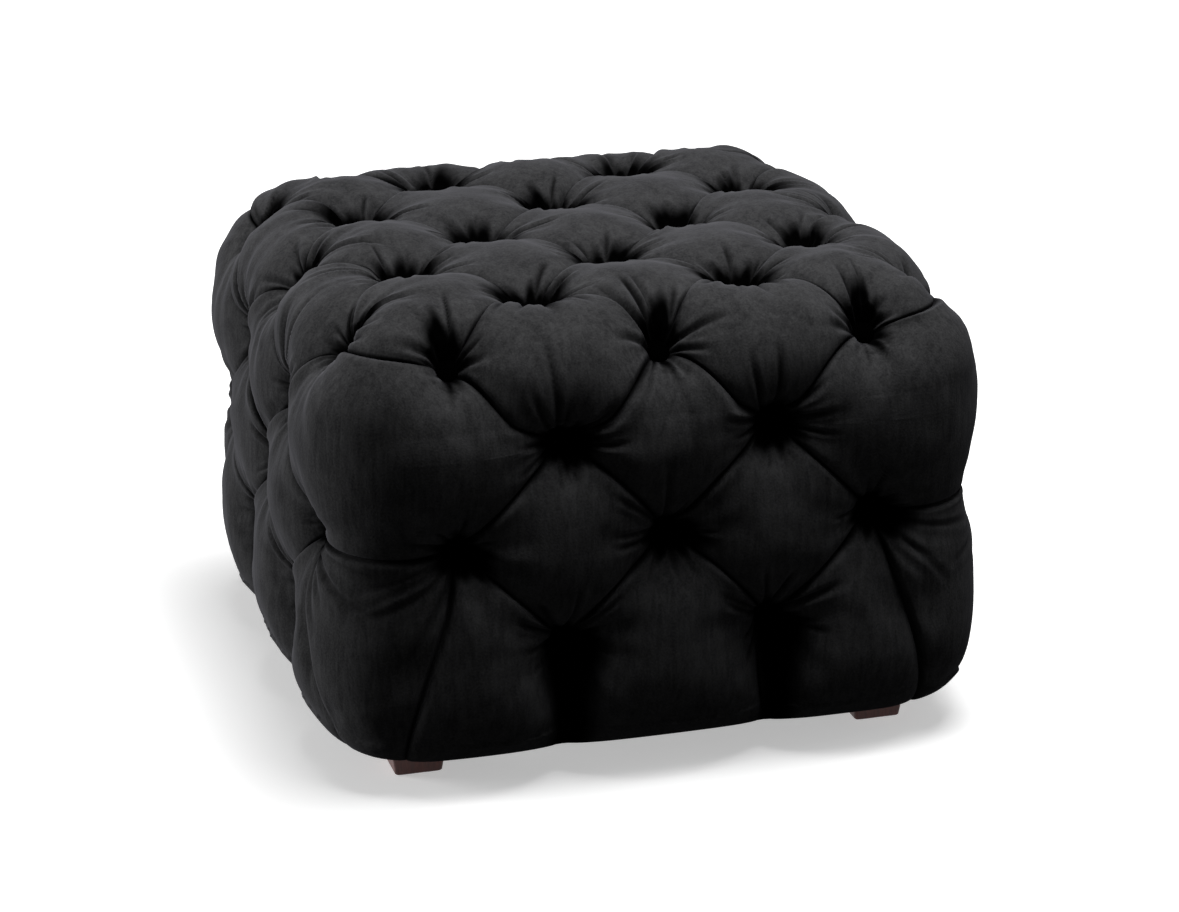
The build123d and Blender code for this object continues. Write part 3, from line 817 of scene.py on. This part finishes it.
        swell = np.ones(base.shape[:3])
        fold = np.zeros(base.shape[:3])
        nearest = np.full(base.shape[:3], FAR)
        overlap = np.array((0.37, -0.61, -0.70))
        sides = {"across": (0, 1, 3, 2, u), "down": (0, 3, 1, 2, v)}
        for name, (a, b, c, d, local) in sides.items():
            span = np.array([getattr(patch, name) for patch in patches])
            whole = span[:, 0, None, None] + (span[:, 1] - span[:, 0])[:, None, None] * local
            reaches = [np.linalg.norm(flat[:, far] - flat[:, near], axis=1) for near, far in ((a, b), (c, d))]
            length = (sum(reaches) / 2 / (span[:, 1] - span[:, 0]))[:, None, None]
            swell *= np.maximum(4 * whole * (1 - whole), 0) ** self.fullness
            for end, ends in ((0.0, (a, c)), (1.0, (b, d))):
                is_pleat = (span[:, int(end)] == end)[:, None, None]
                gap = np.where(is_pleat, np.abs(whole - end) * length, FAR)
                nearest = np.minimum(nearest, gap)
                pleat_middle = (flat[:, ends[0]] + flat[:, ends[1]]) / 2
                above = np.sign((centres - pleat_middle) @ overlap)[:, None, None]
                roll = gap / self.lip_reach
                over, under = self.lip * roll * np.exp(1 - roll), -0.4 * self.lip * np.exp(-roll / 2)
                fold += np.where(above > 0, over, under)
        fold = np.where(nearest < 1e-6, 0.0, fold) - self.crease * np.exp(-nearest / self.crease_reach)
        height = self.valley + (tuft.puff_depth - self.valley + puff_extra) * swell + fold

        spots = base.reshape(-1, 3)
        _, keep, number = np.unique(np.round(spots, 3), axis=0, return_index=True, return_inverse=True)
        number = number.reshape(base.shape[:3])
        spots, out = spots[keep], outward.reshape(-1, 3)[keep]
        height, swell = height.reshape(-1)[keep], swell.reshape(-1)[keep]

        well_base, well_outs = tuft.settle(tuft.wells())
        open_share = self.openness(spots, well_base, well_outs)
        nearest = nearest.reshape(-1)[keep]
        low = np.clip((self.hem_start - spots[:, 2]) / (self.hem_start - tuft.foot_height), 0, 1)
        drawn_in = self.hem_keep + (1 - self.hem_keep) * (1 - low**2.4) ** 0.6
        height = (height * open_share + self.unevenness(spots) * swell) * drawn_in
        points = spots + out * height[:, None]
        pinned = (nearest < self.pinned_pleat) | (open_share < self.pinned_well) | (low > self.pinned_hem)
        start = points - out * (self.start_short * swell * ~pinned)[:, None]
        points = self.relaxed(start, number, keep, pinned)
        folds, inside = self.gathers(spots, out, well_base, well_outs)
        folds = evened(folds[number]).reshape(-1)[keep]
        points += out * (folds * drawn_in)[:, None]

        quads = np.concatenate([self.cells(cell) for cell in number])
        # painted shade: dark round the wells, a dark line along each pleat and dark fold grooves
        painted_shade_share = self.darkness(spots, well_base, well_outs)
        crease_shade = 0.6 + 0.36 * smooth(1 - open_share, 0.0, 0.25)
        fold_width = 1.5 + 1.6 * smooth(1 - open_share, 0.0, 0.3)
        painted_shade_share = np.maximum(painted_shade_share, crease_shade * np.exp(-((nearest / fold_width) ** 2)))
        painted_shade_share = np.maximum(painted_shade_share, 0.97 * inside)
        return self.lined(points, quads, spots, out, painted_shade_share)

    def cells(self, grid: Array) -> Array:
        """The four-sided faces of a grid of vertex numbers."""
        a, b, c, d = grid[:-1, :-1], grid[1:, :-1], grid[1:, 1:], grid[:-1, 1:]
        return np.stack((a, b, c, d), axis=-1).reshape(-1, 4)

    def openness(self, spots: Array, wells: Array, outs: Array) -> Array:
        """How much of the cover's height is left near the wells.

        Args:
            spots: Points on the block's skin.
            wells: The wells.
            outs: Outward directions at the wells.

        Returns:
            A share for each point: 1 far from any well, near 0 in one.
        """
        share = np.ones(len(spots))
        lowest = wells[:, 2].min()
        for well, out in zip(wells, outs):
            reach = spots - well
            wide = self.mouths[well_kind(out)]
            depth = 1.0
            if well[2] < lowest + 1:
                below = np.clip(-reach[:, 2], 0, self.low_slit)
                reach[:, 2] += below
                wide = (wide - 0.5 * smooth(below, 0, self.low_slit))[:, None]
                depth = 1 - 0.45 * smooth(below, 0, self.low_slit)
            radius = np.maximum(np.linalg.norm(reach / wide, axis=1) - self.throat, 0)
            steep = (1 - self.dish_share) * np.exp(-radius / self.pit)
            shallow = self.dish_share * np.clip(1 - radius / self.dish, 0, 1) ** 2.2
            share *= 1 - depth * (steep + shallow)
        return share

    def darkness(self, spots: Array, wells: Array, outs: Array) -> Array:
        """Painted shade in and round the wells, where little light gets in.

        Args:
            spots: Points on the block's skin.
            wells: The wells.
            outs: Outward directions at the wells.

        Returns:
            A share for each point: 1 in a well, 0 away from the wells.
        """
        rng = np.random.default_rng(self.seed + 3)
        dark = np.zeros(len(spots))
        lowest = wells[:, 2].min()
        for well, out in zip(wells, outs):
            side, rise = well_axes(out)
            wide, tall, shift, aside = self.shade_zones[well_kind(out)]
            reach = spots - well
            x, y, depth = reach @ side - aside, reach @ rise, reach @ out
            soft = self.shade_edge
            if well[2] < lowest + 1:
                below = np.clip(-y, 0, self.low_slit)
                y = y + below
                wide = wide - 7.0 * smooth(below, 0, 60.0)
                soft = soft + 0.25 * smooth(below, 0, 40.0)
            angle = np.arctan2(y, x)
            lobes = (size * np.sin(count * angle + rng.uniform(0, 6)) for count, size in self.shade_lobes)
            ragged = 1 + sum(lobes)
            away = np.sqrt((x / wide) ** 2 + ((y - shift) / tall) ** 2 + (depth / 40.0) ** 2) / ragged
            # painted shade round the well, ragged at its edge
            dark = np.maximum(dark, smooth(1.05 - away, -soft, soft))
        return dark

    def relaxed(self, points: Array, number: Array, keep: Array, pinned: Array) -> Array:
        """Let the cover swell as cloth over its stuffing, held at the wells, the pleats and the hem.

        Args:
            points: Points of the outside.
            number: Number of the point at each place of each patch.
            keep: The place that each point was first met at.
            pinned: Whether each point is held.

        Returns:
            The points after the cloth has settled.
        """
        coarse = number[:, :: self.coarse, :: self.coarse]
        used, local = np.unique(coarse, return_inverse=True)
        local = local.reshape(coarse.shape)
        middle = self.rows // (2 * self.coarse)
        quads = []
        for grid in local:
            ring = points[used[grid[middle - 1 : middle + 2, middle - 1 : middle + 2]]]
            normal = np.cross(ring[2, 1] - ring[0, 1], ring[1, 2] - ring[1, 0])
            faces_out = normal @ (ring[1, 1] - (0.0, 0.0, self.tufting.height / 2)) > 0
            quads.append(self.cells(grid if faces_out else grid.T))
        trial = mesh_object("cover_cloth", points[used], np.concatenate(quads).tolist(), None)
        held = trial.vertex_groups.new(name="held")
        held.add(np.flatnonzero(pinned[used]).tolist(), 1.0, "REPLACE")
        cloth = trial.modifiers.new("cloth", "CLOTH")
        cloth.settings.quality = 5
        cloth.settings.mass = 0.3
        cloth.settings.tension_stiffness = cloth.settings.compression_stiffness = 15.0
        cloth.settings.bending_stiffness = 0.5
        cloth.settings.use_pressure = True
        cloth.settings.uniform_pressure_force = 4.0
        cloth.settings.shrink_min = -self.spare_cloth
        cloth.settings.vertex_group_mass = held.name
        cloth.settings.effector_weights.gravity = 0.0
        cloth.collision_settings.use_collision = False
        cloth.point_cache.frame_start, cloth.point_cache.frame_end = 1, self.frames
        for count in range(1, self.frames + 1):
            bpy.context.scene.frame_set(count)
        settled = trial.evaluated_get(bpy.context.evaluated_depsgraph_get()).data
        moved = np.empty(len(used) * 3, np.float32)
        settled.vertices.foreach_get("co", moved)
        shift = moved.reshape(-1, 3) / MM - points[used]
        far = np.linalg.norm(shift, axis=1, keepdims=True)
        log.info("cover_cloth: moved %.2f mm on average, %.2f mm at most", far.mean(), far.max())
        shift *= np.minimum(1, self.most_shift / np.maximum(far, TINY))
        bpy.data.objects.remove(trial)
        bpy.context.scene.frame_set(1)
        fine = refined(refined(evened(evened(shift[local]))))
        return points + fine.reshape(-1, 3)[keep]

    def lined(
        self, points: Array, quads: Array, spots: Array, out: Array, painted_shade_share: Array
    ) -> tuple[Array, list, Array]:
        """Turn the hem under and close the cover with its lining.

        Args:
            points: Points of the outside.
            quads: Faces of the outside.
            spots: The same points on the block's skin.
            out: Outward directions there.
            painted_shade_share: The painted shade at each point.

        Returns:
            Points, faces and painted shade of the closed cover, full on the hem and the lining.
        """
        tuft = self.tufting
        rim = np.flatnonzero(spots[:, 2] < tuft.foot_height + 1e-3)
        rim = rim[np.argsort(np.arctan2(spots[rim, 1], spots[rim, 0]))]
        under = self.backing + self.hem_width
        floor = tuft.foot_height
        shelf = floor + self.hem_thickness
        roll = tuft.edge_radius - self.backing
        spring = tuft.top - tuft.edge_radius
        rings = [(2.0, floor - 0.3), (0.6 * under, floor), (under, floor), (under, shelf)]
        rings += [(self.backing, shelf)]
        rings += [(self.backing, height) for height in np.linspace(shelf, spring, 4)[1:]]
        for angle in np.radians((30, 60, 90)):
            rings.append((self.backing + roll * (1 - math.cos(angle)), spring + roll * math.sin(angle)))
        layers = []
        for inset, level in rings:
            layer = spots[rim] - out[rim] * inset
            layer[:, 2] = level
            layers.append(layer)
        for scale in (0.75, 0.5, 0.25):
            layers.append(layers[len(rings) - 1] * (scale, scale, 1.0))
        count = len(rim)
        rows = [rim] + [len(points) + count * place + np.arange(count) for place in range(len(layers))]
        pairs = zip(rows, rows[1:])
        strips = [np.stack((low, np.roll(low, -1), np.roll(high, -1), high), axis=-1) for low, high in pairs]
        pole = len(points) + count * len(layers)
        fan = [(int(a), int(b), pole) for a, b in zip(rows[-1], np.roll(rows[-1], -1))]
        everything = np.concatenate([points, *layers, np.array([[0.0, 0.0, layers[-1][0, 2]]])])
        faces = np.concatenate([quads, *strips]).tolist() + fan
        # the hem and the lining get full painted shade
        return everything, faces, np.concatenate([painted_shade_share, np.ones(len(everything) - len(painted_shade_share))])

    def build(self, velvet: bpy.types.Material) -> bpy.types.Object:
        """Args:
            velvet: The cover's finish.

        Returns:
            The finished piece.
        """
        points, faces, painted_shade_share = self.skin()
        piece = mesh_object("velvet_cover", points, faces, velvet)
        mesh = piece.data
        bpy.context.view_layer.objects.active = piece
        bpy.ops.object.mode_set(mode="EDIT")
        bpy.ops.mesh.select_all(action="SELECT")
        bpy.ops.mesh.normals_make_consistent(inside=False)
        bpy.ops.object.mode_set(mode="OBJECT")
        # the shade attribute holds the painted shade that darkens the velvet's base colour
        depth = mesh.attributes.new("shade", "FLOAT", "POINT")
        depth.data.foreach_set("value", painted_shade_share.astype(np.float32))
        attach(piece, "root")
        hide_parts("tufted_cover")
        return piece


def baked(piece: bpy.types.Object) -> bpy.types.Mesh:
    """Give a piece the mesh that its modifiers make, and take them off.

    Args:
        piece: The piece, which keeps its name.

    Returns:
        The piece's new mesh.
    """
    bpy.context.view_layer.update()
    graph = bpy.context.evaluated_depsgraph_get()
    made = bpy.data.meshes.new_from_object(piece.evaluated_get(graph))
    piece.modifiers.clear()
    piece.data = made
    made.name = piece.name
    return made


def node_tree(name: str, sizes: dict[str, float]) -> tuple[Tree, bpy.types.Node]:
    """Start a geometry tree with named inputs.

    Args:
        name: The tree's name.
        sizes: Name and value of each input.

    Returns:
        The tree and its input node.
    """
    tree = bpy.data.node_groups.new(name, "GeometryNodeTree")
    tree.interface.new_socket("Geometry", in_out="INPUT", socket_type="NodeSocketGeometry")
    tree.interface.new_socket("Geometry", in_out="OUTPUT", socket_type="NodeSocketGeometry")
    for label in sizes:
        tree.interface.new_socket(label, in_out="INPUT", socket_type="NodeSocketFloat")
    return tree, add_node(tree, "NodeGroupInput")


def grow(
    name: str, tree: Tree, sizes: dict[str, float], points: Array, facts: dict[str, tuple[str, Array]]
) -> bpy.types.Object:
    """Run a geometry tree on points and keep the result as a plain mesh.

    Args:
        name: The piece's name.
        tree: The finished tree.
        sizes: Value of each named input, in millimetres.
        points: Where the copies go, in millimetres.
        facts: Type and values of each attribute that the tree reads.

    Returns:
        The piece, at the origin, with no modifier left.
    """
    seed = bpy.data.meshes.new(name + "_points")
    seed.from_pydata((points * MM).tolist(), [], [])
    for label, (kind, values) in facts.items():
        field = seed.attributes.new(label, kind, "POINT")
        key = "vector" if kind == "FLOAT_VECTOR" else "value"
        field.data.foreach_set(key, values.astype(np.float32).ravel())
    piece = bpy.data.objects.new(name, seed)
    bpy.context.scene.collection.objects.link(piece)
    modifier = piece.modifiers.new("grow", "NODES")
    modifier.node_group = tree
    for item in tree.interface.items_tree:
        if item.in_out == "INPUT" and item.name in sizes:
            modifier[item.identifier] = sizes[item.name] * MM
    baked(piece)
    return piece


def stored(tree: Tree, name: str, kind: str) -> Socket:
    """Values of an attribute of the points."""
    return add_node(tree, "GeometryNodeInputNamedAttribute", {"Name": name}, data_type=kind).outputs[0]


def finish_tree(
    tree: Tree, points: Socket, piece: Socket, turn: Socket, material: bpy.types.Material
) -> None:
    """End a geometry tree: copy a piece to the points and make the copies real.

    Args:
        tree: The tree.
        points: Where the copies go.
        piece: What is copied.
        turn: Rotation of each copy.
        material: Their finish.
    """
    placing = {"Points": points, "Instance": piece, "Rotation": turn}
    copies = add_node(tree, "GeometryNodeInstanceOnPoints", placing)
    real = add_node(tree, "GeometryNodeRealizeInstances", {0: copies.outputs[0]})
    even = add_node(tree, "GeometryNodeSetShadeSmooth", {0: real.outputs[0]})
    painted = add_node(tree, "GeometryNodeSetMaterial", {0: even.outputs[0], "Material": material})
    add_node(tree, "NodeGroupOutput", {0: painted.outputs[0]})


@dataclass(frozen=True)
class CoveredButtons:
    """A velvet-covered button at the bottom of each well, its cloth gathered under the rim."""

    tufting: Tufting = Tufting()
    radius: float = 9.0
    height: float = 7.0
    seat: float = 1.0  # how far it sinks into the wadding
    gather: float = 0.35  # depth of the folds at the rim
    folds: int = 11

    def build(self, cloth: bpy.types.Material) -> bpy.types.Object:
        """Make all buttons.

        Args:
            cloth: Their finish.

        Returns:
            The finished piece.
        """
        sizes = {"Radius": self.radius, "Height": self.height, "Gather": self.gather}
        tree, given = node_tree("covered_button", sizes)
        size, tall, gather = (given.outputs[key] for key in sizes)
        ball = add_node(tree, "GeometryNodeMeshUVSphere", {"Segments": 33, "Rings": 10, "Radius": 1.0})
        spot = add_node(tree, "GeometryNodeInputPosition").outputs[0]
        x, y, z = add_node(tree, "ShaderNodeSeparateXYZ", {0: spot}).outputs
        angle = maths(tree, "ARCTAN2", y, x)
        wave = maths(tree, "SINE", maths(tree, "MULTIPLY", angle, float(self.folds)))
        rim = add_node(tree, "ShaderNodeMapRange", {"Value": z, "From Min": 0.7, "From Max": -0.2}).outputs[0]
        wide = maths(tree, "ADD", size, maths(tree, "MULTIPLY", maths(tree, "MULTIPLY", wave, rim), gather))
        half = maths(tree, "MULTIPLY", tall, 0.5)
        shape = add_node(tree, "ShaderNodeCombineXYZ", {"X": wide, "Y": wide, "Z": half}).outputs[0]
        sized = add_node(tree, "ShaderNodeVectorMath", {0: spot, 1: shape}, operation="MULTIPLY").outputs[0]
        button = add_node(tree, "GeometryNodeSetPosition", {0: ball.outputs[0], "Position": sized}).outputs[0]
        outward = stored(tree, "outward", "FLOAT_VECTOR")
        turn = add_node(tree, "FunctionNodeAlignRotationToVector", {"Vector": outward}, axis="Z").outputs[0]
        finish_tree(tree, given.outputs["Geometry"], button, turn, cloth)
        wells, outs = self.tufting.settle(self.tufting.wells())
        centres = wells + outs * (self.height / 2 - self.seat)
        piece = grow("tufting_buttons", tree, sizes, centres, {"outward": ("FLOAT_VECTOR", outs)})
        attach(piece, "root")
        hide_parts(*(f"{face.value}_buttons" for face in Face))
        return piece


@dataclass(frozen=True)
class Underside:
    """The dust cover under the box, and the staples that hold it and the hem."""

    level: float = 25.0
    hem_half: float = 205.0
    edge_gap: float = 0.3
    corner: float = 33.0
    sag: float = 1.6
    crown: float = 11.0
    wire: float = 0.9
    leg: float = 8.0
    bend: float = 0.9
    inset: float = 7.0
    span: float = 280.0
    per_side: int = 6

    def outline(self, count: int) -> Array:
        """Points round the dust cover's edge.

        Args:
            count: Points on each side and each corner.

        Returns:
            Plan positions, anticlockwise.
        """
        half = self.hem_half - self.edge_gap
        straight = half - self.corner
        run = []
        for quarter in range(4):
            turn = quarter_turn(quarter)[:2, :2]
            along = [(x, -half) for x in np.linspace(-straight, straight, count, endpoint=False)]
            angles = np.linspace(-math.pi / 2, 0, count, endpoint=False)
            bend = [
                (straight + self.corner * math.cos(a), self.corner * math.sin(a) - straight) for a in angles
            ]
            run += [turn @ np.array(point) for point in along + bend]
        return np.array(run)

    def build_cloth(self, cloth: bpy.types.Material) -> bpy.types.Object:
        """Make the dust cover, pulled flat at its edge and slack in the middle.

        Args:
            cloth: Its finish.

        Returns:
            The finished piece.
        """
        edge = self.outline(24)
        rings = 14
        layers = []
        for step in range(rings):
            scale = 1 - step / rings
            drop = self.sag * (1 - scale**2) ** 2
            ripple = 0.25 * scale**6 * np.sin(np.arange(len(edge)) * 0.9)
            level = np.full(len(edge), self.level + 0.5 - drop) + ripple
            layers.append(np.column_stack((edge * scale, level)))
        points = np.concatenate([*layers, [[0.0, 0.0, self.level + 0.5 - self.sag]]])
        count = len(edge)
        faces: list = []
        for step in range(rings - 1):
            low, high = step * count + np.arange(count), (step + 1) * count + np.arange(count)
            faces += np.stack((np.roll(low, -1), low, high, np.roll(high, -1)), axis=-1).tolist()
        last = (rings - 1) * count + np.arange(count)
        faces += [(int(b), int(a), rings * count) for a, b in zip(last, np.roll(last, -1))]
        piece = mesh_object("dust_cloth", points, faces, cloth)
        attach(piece, "root")
        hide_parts("dust_cover")
        return piece

    def build_staples(self, wire: bpy.types.Material) -> bpy.types.Object:
        """Make the two square rows of staples.

        Args:
            wire: Their finish.

        Returns:
            The finished piece.
        """
        sizes = {"Crown": self.crown, "Leg": self.leg, "Wire": self.wire, "Bend": self.bend}
        tree, given = node_tree("wire_staple", sizes)
        crown, leg, wide, bend = (given.outputs[key] for key in sizes)
        line = add_node(tree, "GeometryNodeMeshLine", {"Count": 4})
        number = add_node(tree, "GeometryNodeInputIndex").outputs[0]
        middle = maths(tree, "SUBTRACT", number, 1.5)
        x = maths(tree, "MULTIPLY", maths(tree, "SIGN", middle), maths(tree, "MULTIPLY", crown, 0.5))
        is_leg = maths(tree, "GREATER_THAN", maths(tree, "ABSOLUTE", middle), 1.0)
        z = maths(tree, "MULTIPLY", is_leg, leg)
        spot = add_node(tree, "ShaderNodeCombineXYZ", {"X": x, "Z": z}).outputs[0]
        bent = add_node(tree, "GeometryNodeSetPosition", {0: line.outputs[0], "Position": spot})
        path = add_node(tree, "GeometryNodeMeshToCurve", {0: bent.outputs[0]}).outputs[0]
        curved = add_node(tree, "GeometryNodeFilletCurve", {0: path, "Radius": bend, "Count": 4}, mode="POLY")
        ring = {"Resolution": 6, "Radius": maths(tree, "MULTIPLY", wide, 0.5)}
        section = add_node(tree, "GeometryNodeCurvePrimitiveCircle", ring, mode="RADIUS").outputs[0]
        swept = {0: curved.outputs[0], "Profile Curve": section, "Fill Caps": True}
        staple = add_node(tree, "GeometryNodeCurveToMesh", swept).outputs[0]
        turn = add_node(tree, "ShaderNodeCombineXYZ", {"Z": stored(tree, "heading", "FLOAT")}).outputs[0]
        finish_tree(tree, given.outputs["Geometry"], staple, turn, wire)
        spots, headings = [], []
        for distance in (self.hem_half + self.inset, self.hem_half - self.inset):
            for quarter in range(4):
                turned = quarter_turn(quarter)
                for along in np.linspace(-self.span / 2, self.span / 2, self.per_side):
                    spots.append(turned @ (along, -distance, self.level - self.wire / 2))
                    headings.append(quarter * math.pi / 2)
        piece = grow("wire_staples", tree, sizes, np.array(spots), {"heading": ("FLOAT", np.array(headings))})
        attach(piece, "root")
        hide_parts("hem_staples", "dust_cover_staples")
        return piece


@dataclass(frozen=True)
class FoamPads:
    """The foam on the box: cut slabs whose edges have gone round under the cover."""

    nodes: tuple[str, ...] = ("top_foam", "front_foam", "rear_foam", "left_foam", "right_foam")
    cell: float = 6.0
    rounds: int = 4

    def build(self, foam: bpy.types.Material) -> list[bpy.types.Object]:
        """Make one pad for each foam node.

        Args:
            foam: Their finish.

        Returns:
            The finished pieces.
        """
        pads = []
        for node in self.nodes:
            pad = bpy.data.objects.new(node + "_pad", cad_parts[node].data.copy())
            bpy.context.scene.collection.objects.link(pad)
            pad.modifiers.new("merge", "WELD").merge_threshold = 0.01 * MM
            remesh = pad.modifiers.new("cells", "REMESH")
            remesh.mode = "VOXEL"
            remesh.voxel_size = self.cell * MM
            softened = pad.modifiers.new("soft_edges", "SMOOTH")
            softened.factor = 0.5
            softened.iterations = self.rounds
            made = baked(pad)
            made.shade_smooth()
            made.materials.clear()
            made.materials.append(foam)
            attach(pad, "root")
            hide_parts(node)
            pads.append(pad)
        return pads


@dataclass(frozen=True)
class Carcass:
    """The rigid pieces, which keep the frame's shapes and get their finishes."""

    boards: tuple[str, ...] = ("deck", "base", "front", "rear", "left", "right")
    metal: tuple[str, ...] = ("deck_screws", "base_screws", "corner_screws", "foot_bolts", "tee_nuts")

    def dress(self) -> list[str]:
        """Give each rigid node its finish.

        Returns:
            Names of the nodes.
        """
        groups = [
            (Plywood(), [f"{place}_board" for place in self.boards]),
            (SAWN_PINE, [f"corner_block_{corner.value}" for corner in Corner]),
            (STAINED_BEECH, [f"foot_{corner.value}" for corner in Corner]),
            (ZINC_STEEL, self.metal),
            (FLAX_TWINE, [f"{face.value}_twines" for face in Face]),
        ]
        dressed = []
        for finish, names in groups:
            material = finish.material()
            for name in names:
                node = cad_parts[name]
                if not node.material_slots:
                    node.data.materials.append(material)
                for held in node.material_slots:
                    held.material = material
                dressed.append(name)
        return dressed


@dataclass(frozen=True)
class Studio:
    """A white floor, soft light from above and the camera."""

    camera_at: tuple[float, float, float] = (-759.5, -2749.8, 1184.1)
    yaw: float = 15.597
    pitch: float = 19.484
    roll: float = -0.361
    focal_share: float = 3600 / 1179  # focal length over the picture's width
    sensor: float = 36.0
    floor_size: float = 12000.0
    floor_seen: str = "f4f4f4"
    floor_unseen: str = "2a2a2a"  # to bounced light, so that the floor doesn't light the pouf
    shadow_round: float = 0.1  # metres; how round the painted shadow's corners are
    shadow_shift: tuple[float, float, float] = (0.04, -0.03, 0.0)  # metres; the painted shadow lies to the left
    # metres from the middle, and how much of white the floor glows there; the lower glow near the pouf is a
    # painted shadow
    painted_shadow_glow: tuple[tuple[float, float], ...] = ((0.27, 0.4), (0.38, 0.7), (1.0, 1.0))

    def place_camera(self) -> None:
        """Make the camera at the picture's viewing angle."""
        data = bpy.data.cameras.new("camera")
        data.sensor_width = self.sensor
        data.lens = self.sensor * self.focal_share
        data.clip_end = 100.0
        camera = bpy.data.objects.new("camera", data)
        turn = (
            Matrix.Rotation(-math.radians(self.yaw), 4, "Z")
            @ Matrix.Rotation(math.radians(90 - self.pitch), 4, "X")
            @ Matrix.Rotation(math.radians(self.roll), 4, "Z")
        )
        camera.matrix_world = Matrix.Translation(Vector(self.camera_at) * MM) @ turn
        bpy.context.scene.collection.objects.link(camera)
        bpy.context.scene.camera = camera

    def seen(self, tree: Tree) -> Socket:
        """1 where the camera sees a surface, straight or in metal or glass, and 0 for bounced light."""
        path = add_node(tree, "ShaderNodeLightPath").outputs
        either = maths(tree, "MAXIMUM", path["Is Camera Ray"], path["Is Glossy Ray"])
        return maths(tree, "MAXIMUM", either, path["Is Transmission Ray"])

    def lay_floor(self) -> None:
        """Make the floor, which is white to the camera and keeps the lamps' shadow, with a painted shadow
        where its glow falls off near the pouf.
        """
        made = bpy.data.materials.new("white_studio_floor")
        made.use_nodes = True
        tree = made.node_tree
        shader = tree.nodes["Principled BSDF"]
        shader.inputs["Roughness"].default_value = 0.9
        seen = self.seen(tree)
        colour = blended(tree, seen, linear(self.floor_unseen), linear(self.floor_seen))
        tree.links.new(colour, shader.inputs["Base Color"])
        place = add_node(tree, "ShaderNodeTexCoord").outputs["Object"]
        # painted shadow: the glow is lower in a rounded square round the pouf, shifted to the left
        moved = add_node(tree, "ShaderNodeVectorMath", {0: place, 1: self.shadow_shift}, operation="ADD")
        sides = add_node(tree, "ShaderNodeVectorMath", {0: moved.outputs[0]}, operation="ABSOLUTE")
        axes = add_node(tree, "ShaderNodeSeparateXYZ", {0: sides.outputs[0]})
        away = maths(tree, "SMOOTH_MAX", axes.outputs["X"], axes.outputs["Y"], self.shadow_round)
        white = add_node(tree, "ShaderNodeValToRGB", {"Fac": away})
        white.color_ramp.interpolation = "B_SPLINE"
        steps = white.color_ramp.elements
        steps.new(0.5)
        for stop, (reach, level) in zip(steps, self.painted_shadow_glow):
            stop.position, stop.color = reach, (level, level, level, 1.0)
        glow = maths(tree, "MULTIPLY", seen, white.outputs[0])
        shader.inputs["Emission Color"].default_value = (1.0, 1.0, 1.0, 1.0)
        tree.links.new(glow, shader.inputs["Emission Strength"])
        half = self.floor_size / 2
        corners = np.array([(-half, -half, 0), (half, -half, 0), (half, half, 0), (-half, half, 0)], float)
        floor = mesh_object("studio_floor", corners, [(0, 1, 2, 3)], made)

    def light(self) -> None:
        """Hang the lamps and set the world."""
        for name, at, size, watts in (
            ("overhead_softbox", (0.25, -0.2, 2.4), 1.4, 54.0),
            ("left_back_fill", (-2.6, 1.2, 0.35), 1.2, 76.0),
            ("right_fill", (2.5, -0.5, 1.1), 1.2, 4.5),
        ):
            data = bpy.data.lights.new(name, "AREA")
            data.size = size
            data.energy = watts
            lamp = bpy.data.objects.new(name, data)
            lamp.location = at
            lamp.rotation_mode = "QUATERNION"
            lamp.rotation_quaternion = (Vector((0, 0, 0.25)) - Vector(at)).to_track_quat("-Z", "Y")
            bpy.context.scene.collection.objects.link(lamp)
        world = bpy.data.worlds.new("studio_world")
        world.use_nodes = True
        tree = world.node_tree
        sky = tree.nodes["Background"]
        sky.inputs["Color"].default_value = (1.0, 1.0, 1.0, 1.0)
        levels = {"Value": self.seen(tree), "To Min": 0.025, "To Max": 1.0}
        strength = add_node(tree, "ShaderNodeMapRange", levels).outputs[0]
        tree.links.new(strength, sky.inputs["Strength"])
        bpy.context.scene.world = world
        bpy.context.scene.view_settings.view_transform = "Standard"


def main() -> None:
    """Build the pouf piece by piece."""
    logging.basicConfig(level=logging.INFO, format="%(message)s")
    velvet = Velvet().material()
    studio = Studio()
    studio.place_camera()
    studio.lay_floor()
    studio.light()
    underside = Underside()
    made = [
        TuftedCover().build(velvet),
        CoveredButtons().build(SHADED_BUTTON_VELVET.material()),
        underside.build_cloth(DUST_CLOTH.material()),
        underside.build_staples(STAPLE_WIRE.material()),
        *FoamPads().build(CUT_FOAM.material()),
    ]
    for piece in made:
        log.info("%s: %d faces", piece.name, len(piece.data.polygons))
    for name in Carcass().dress():
        log.info("%s: finish only", name)


if __name__ == "__main__":
    main()
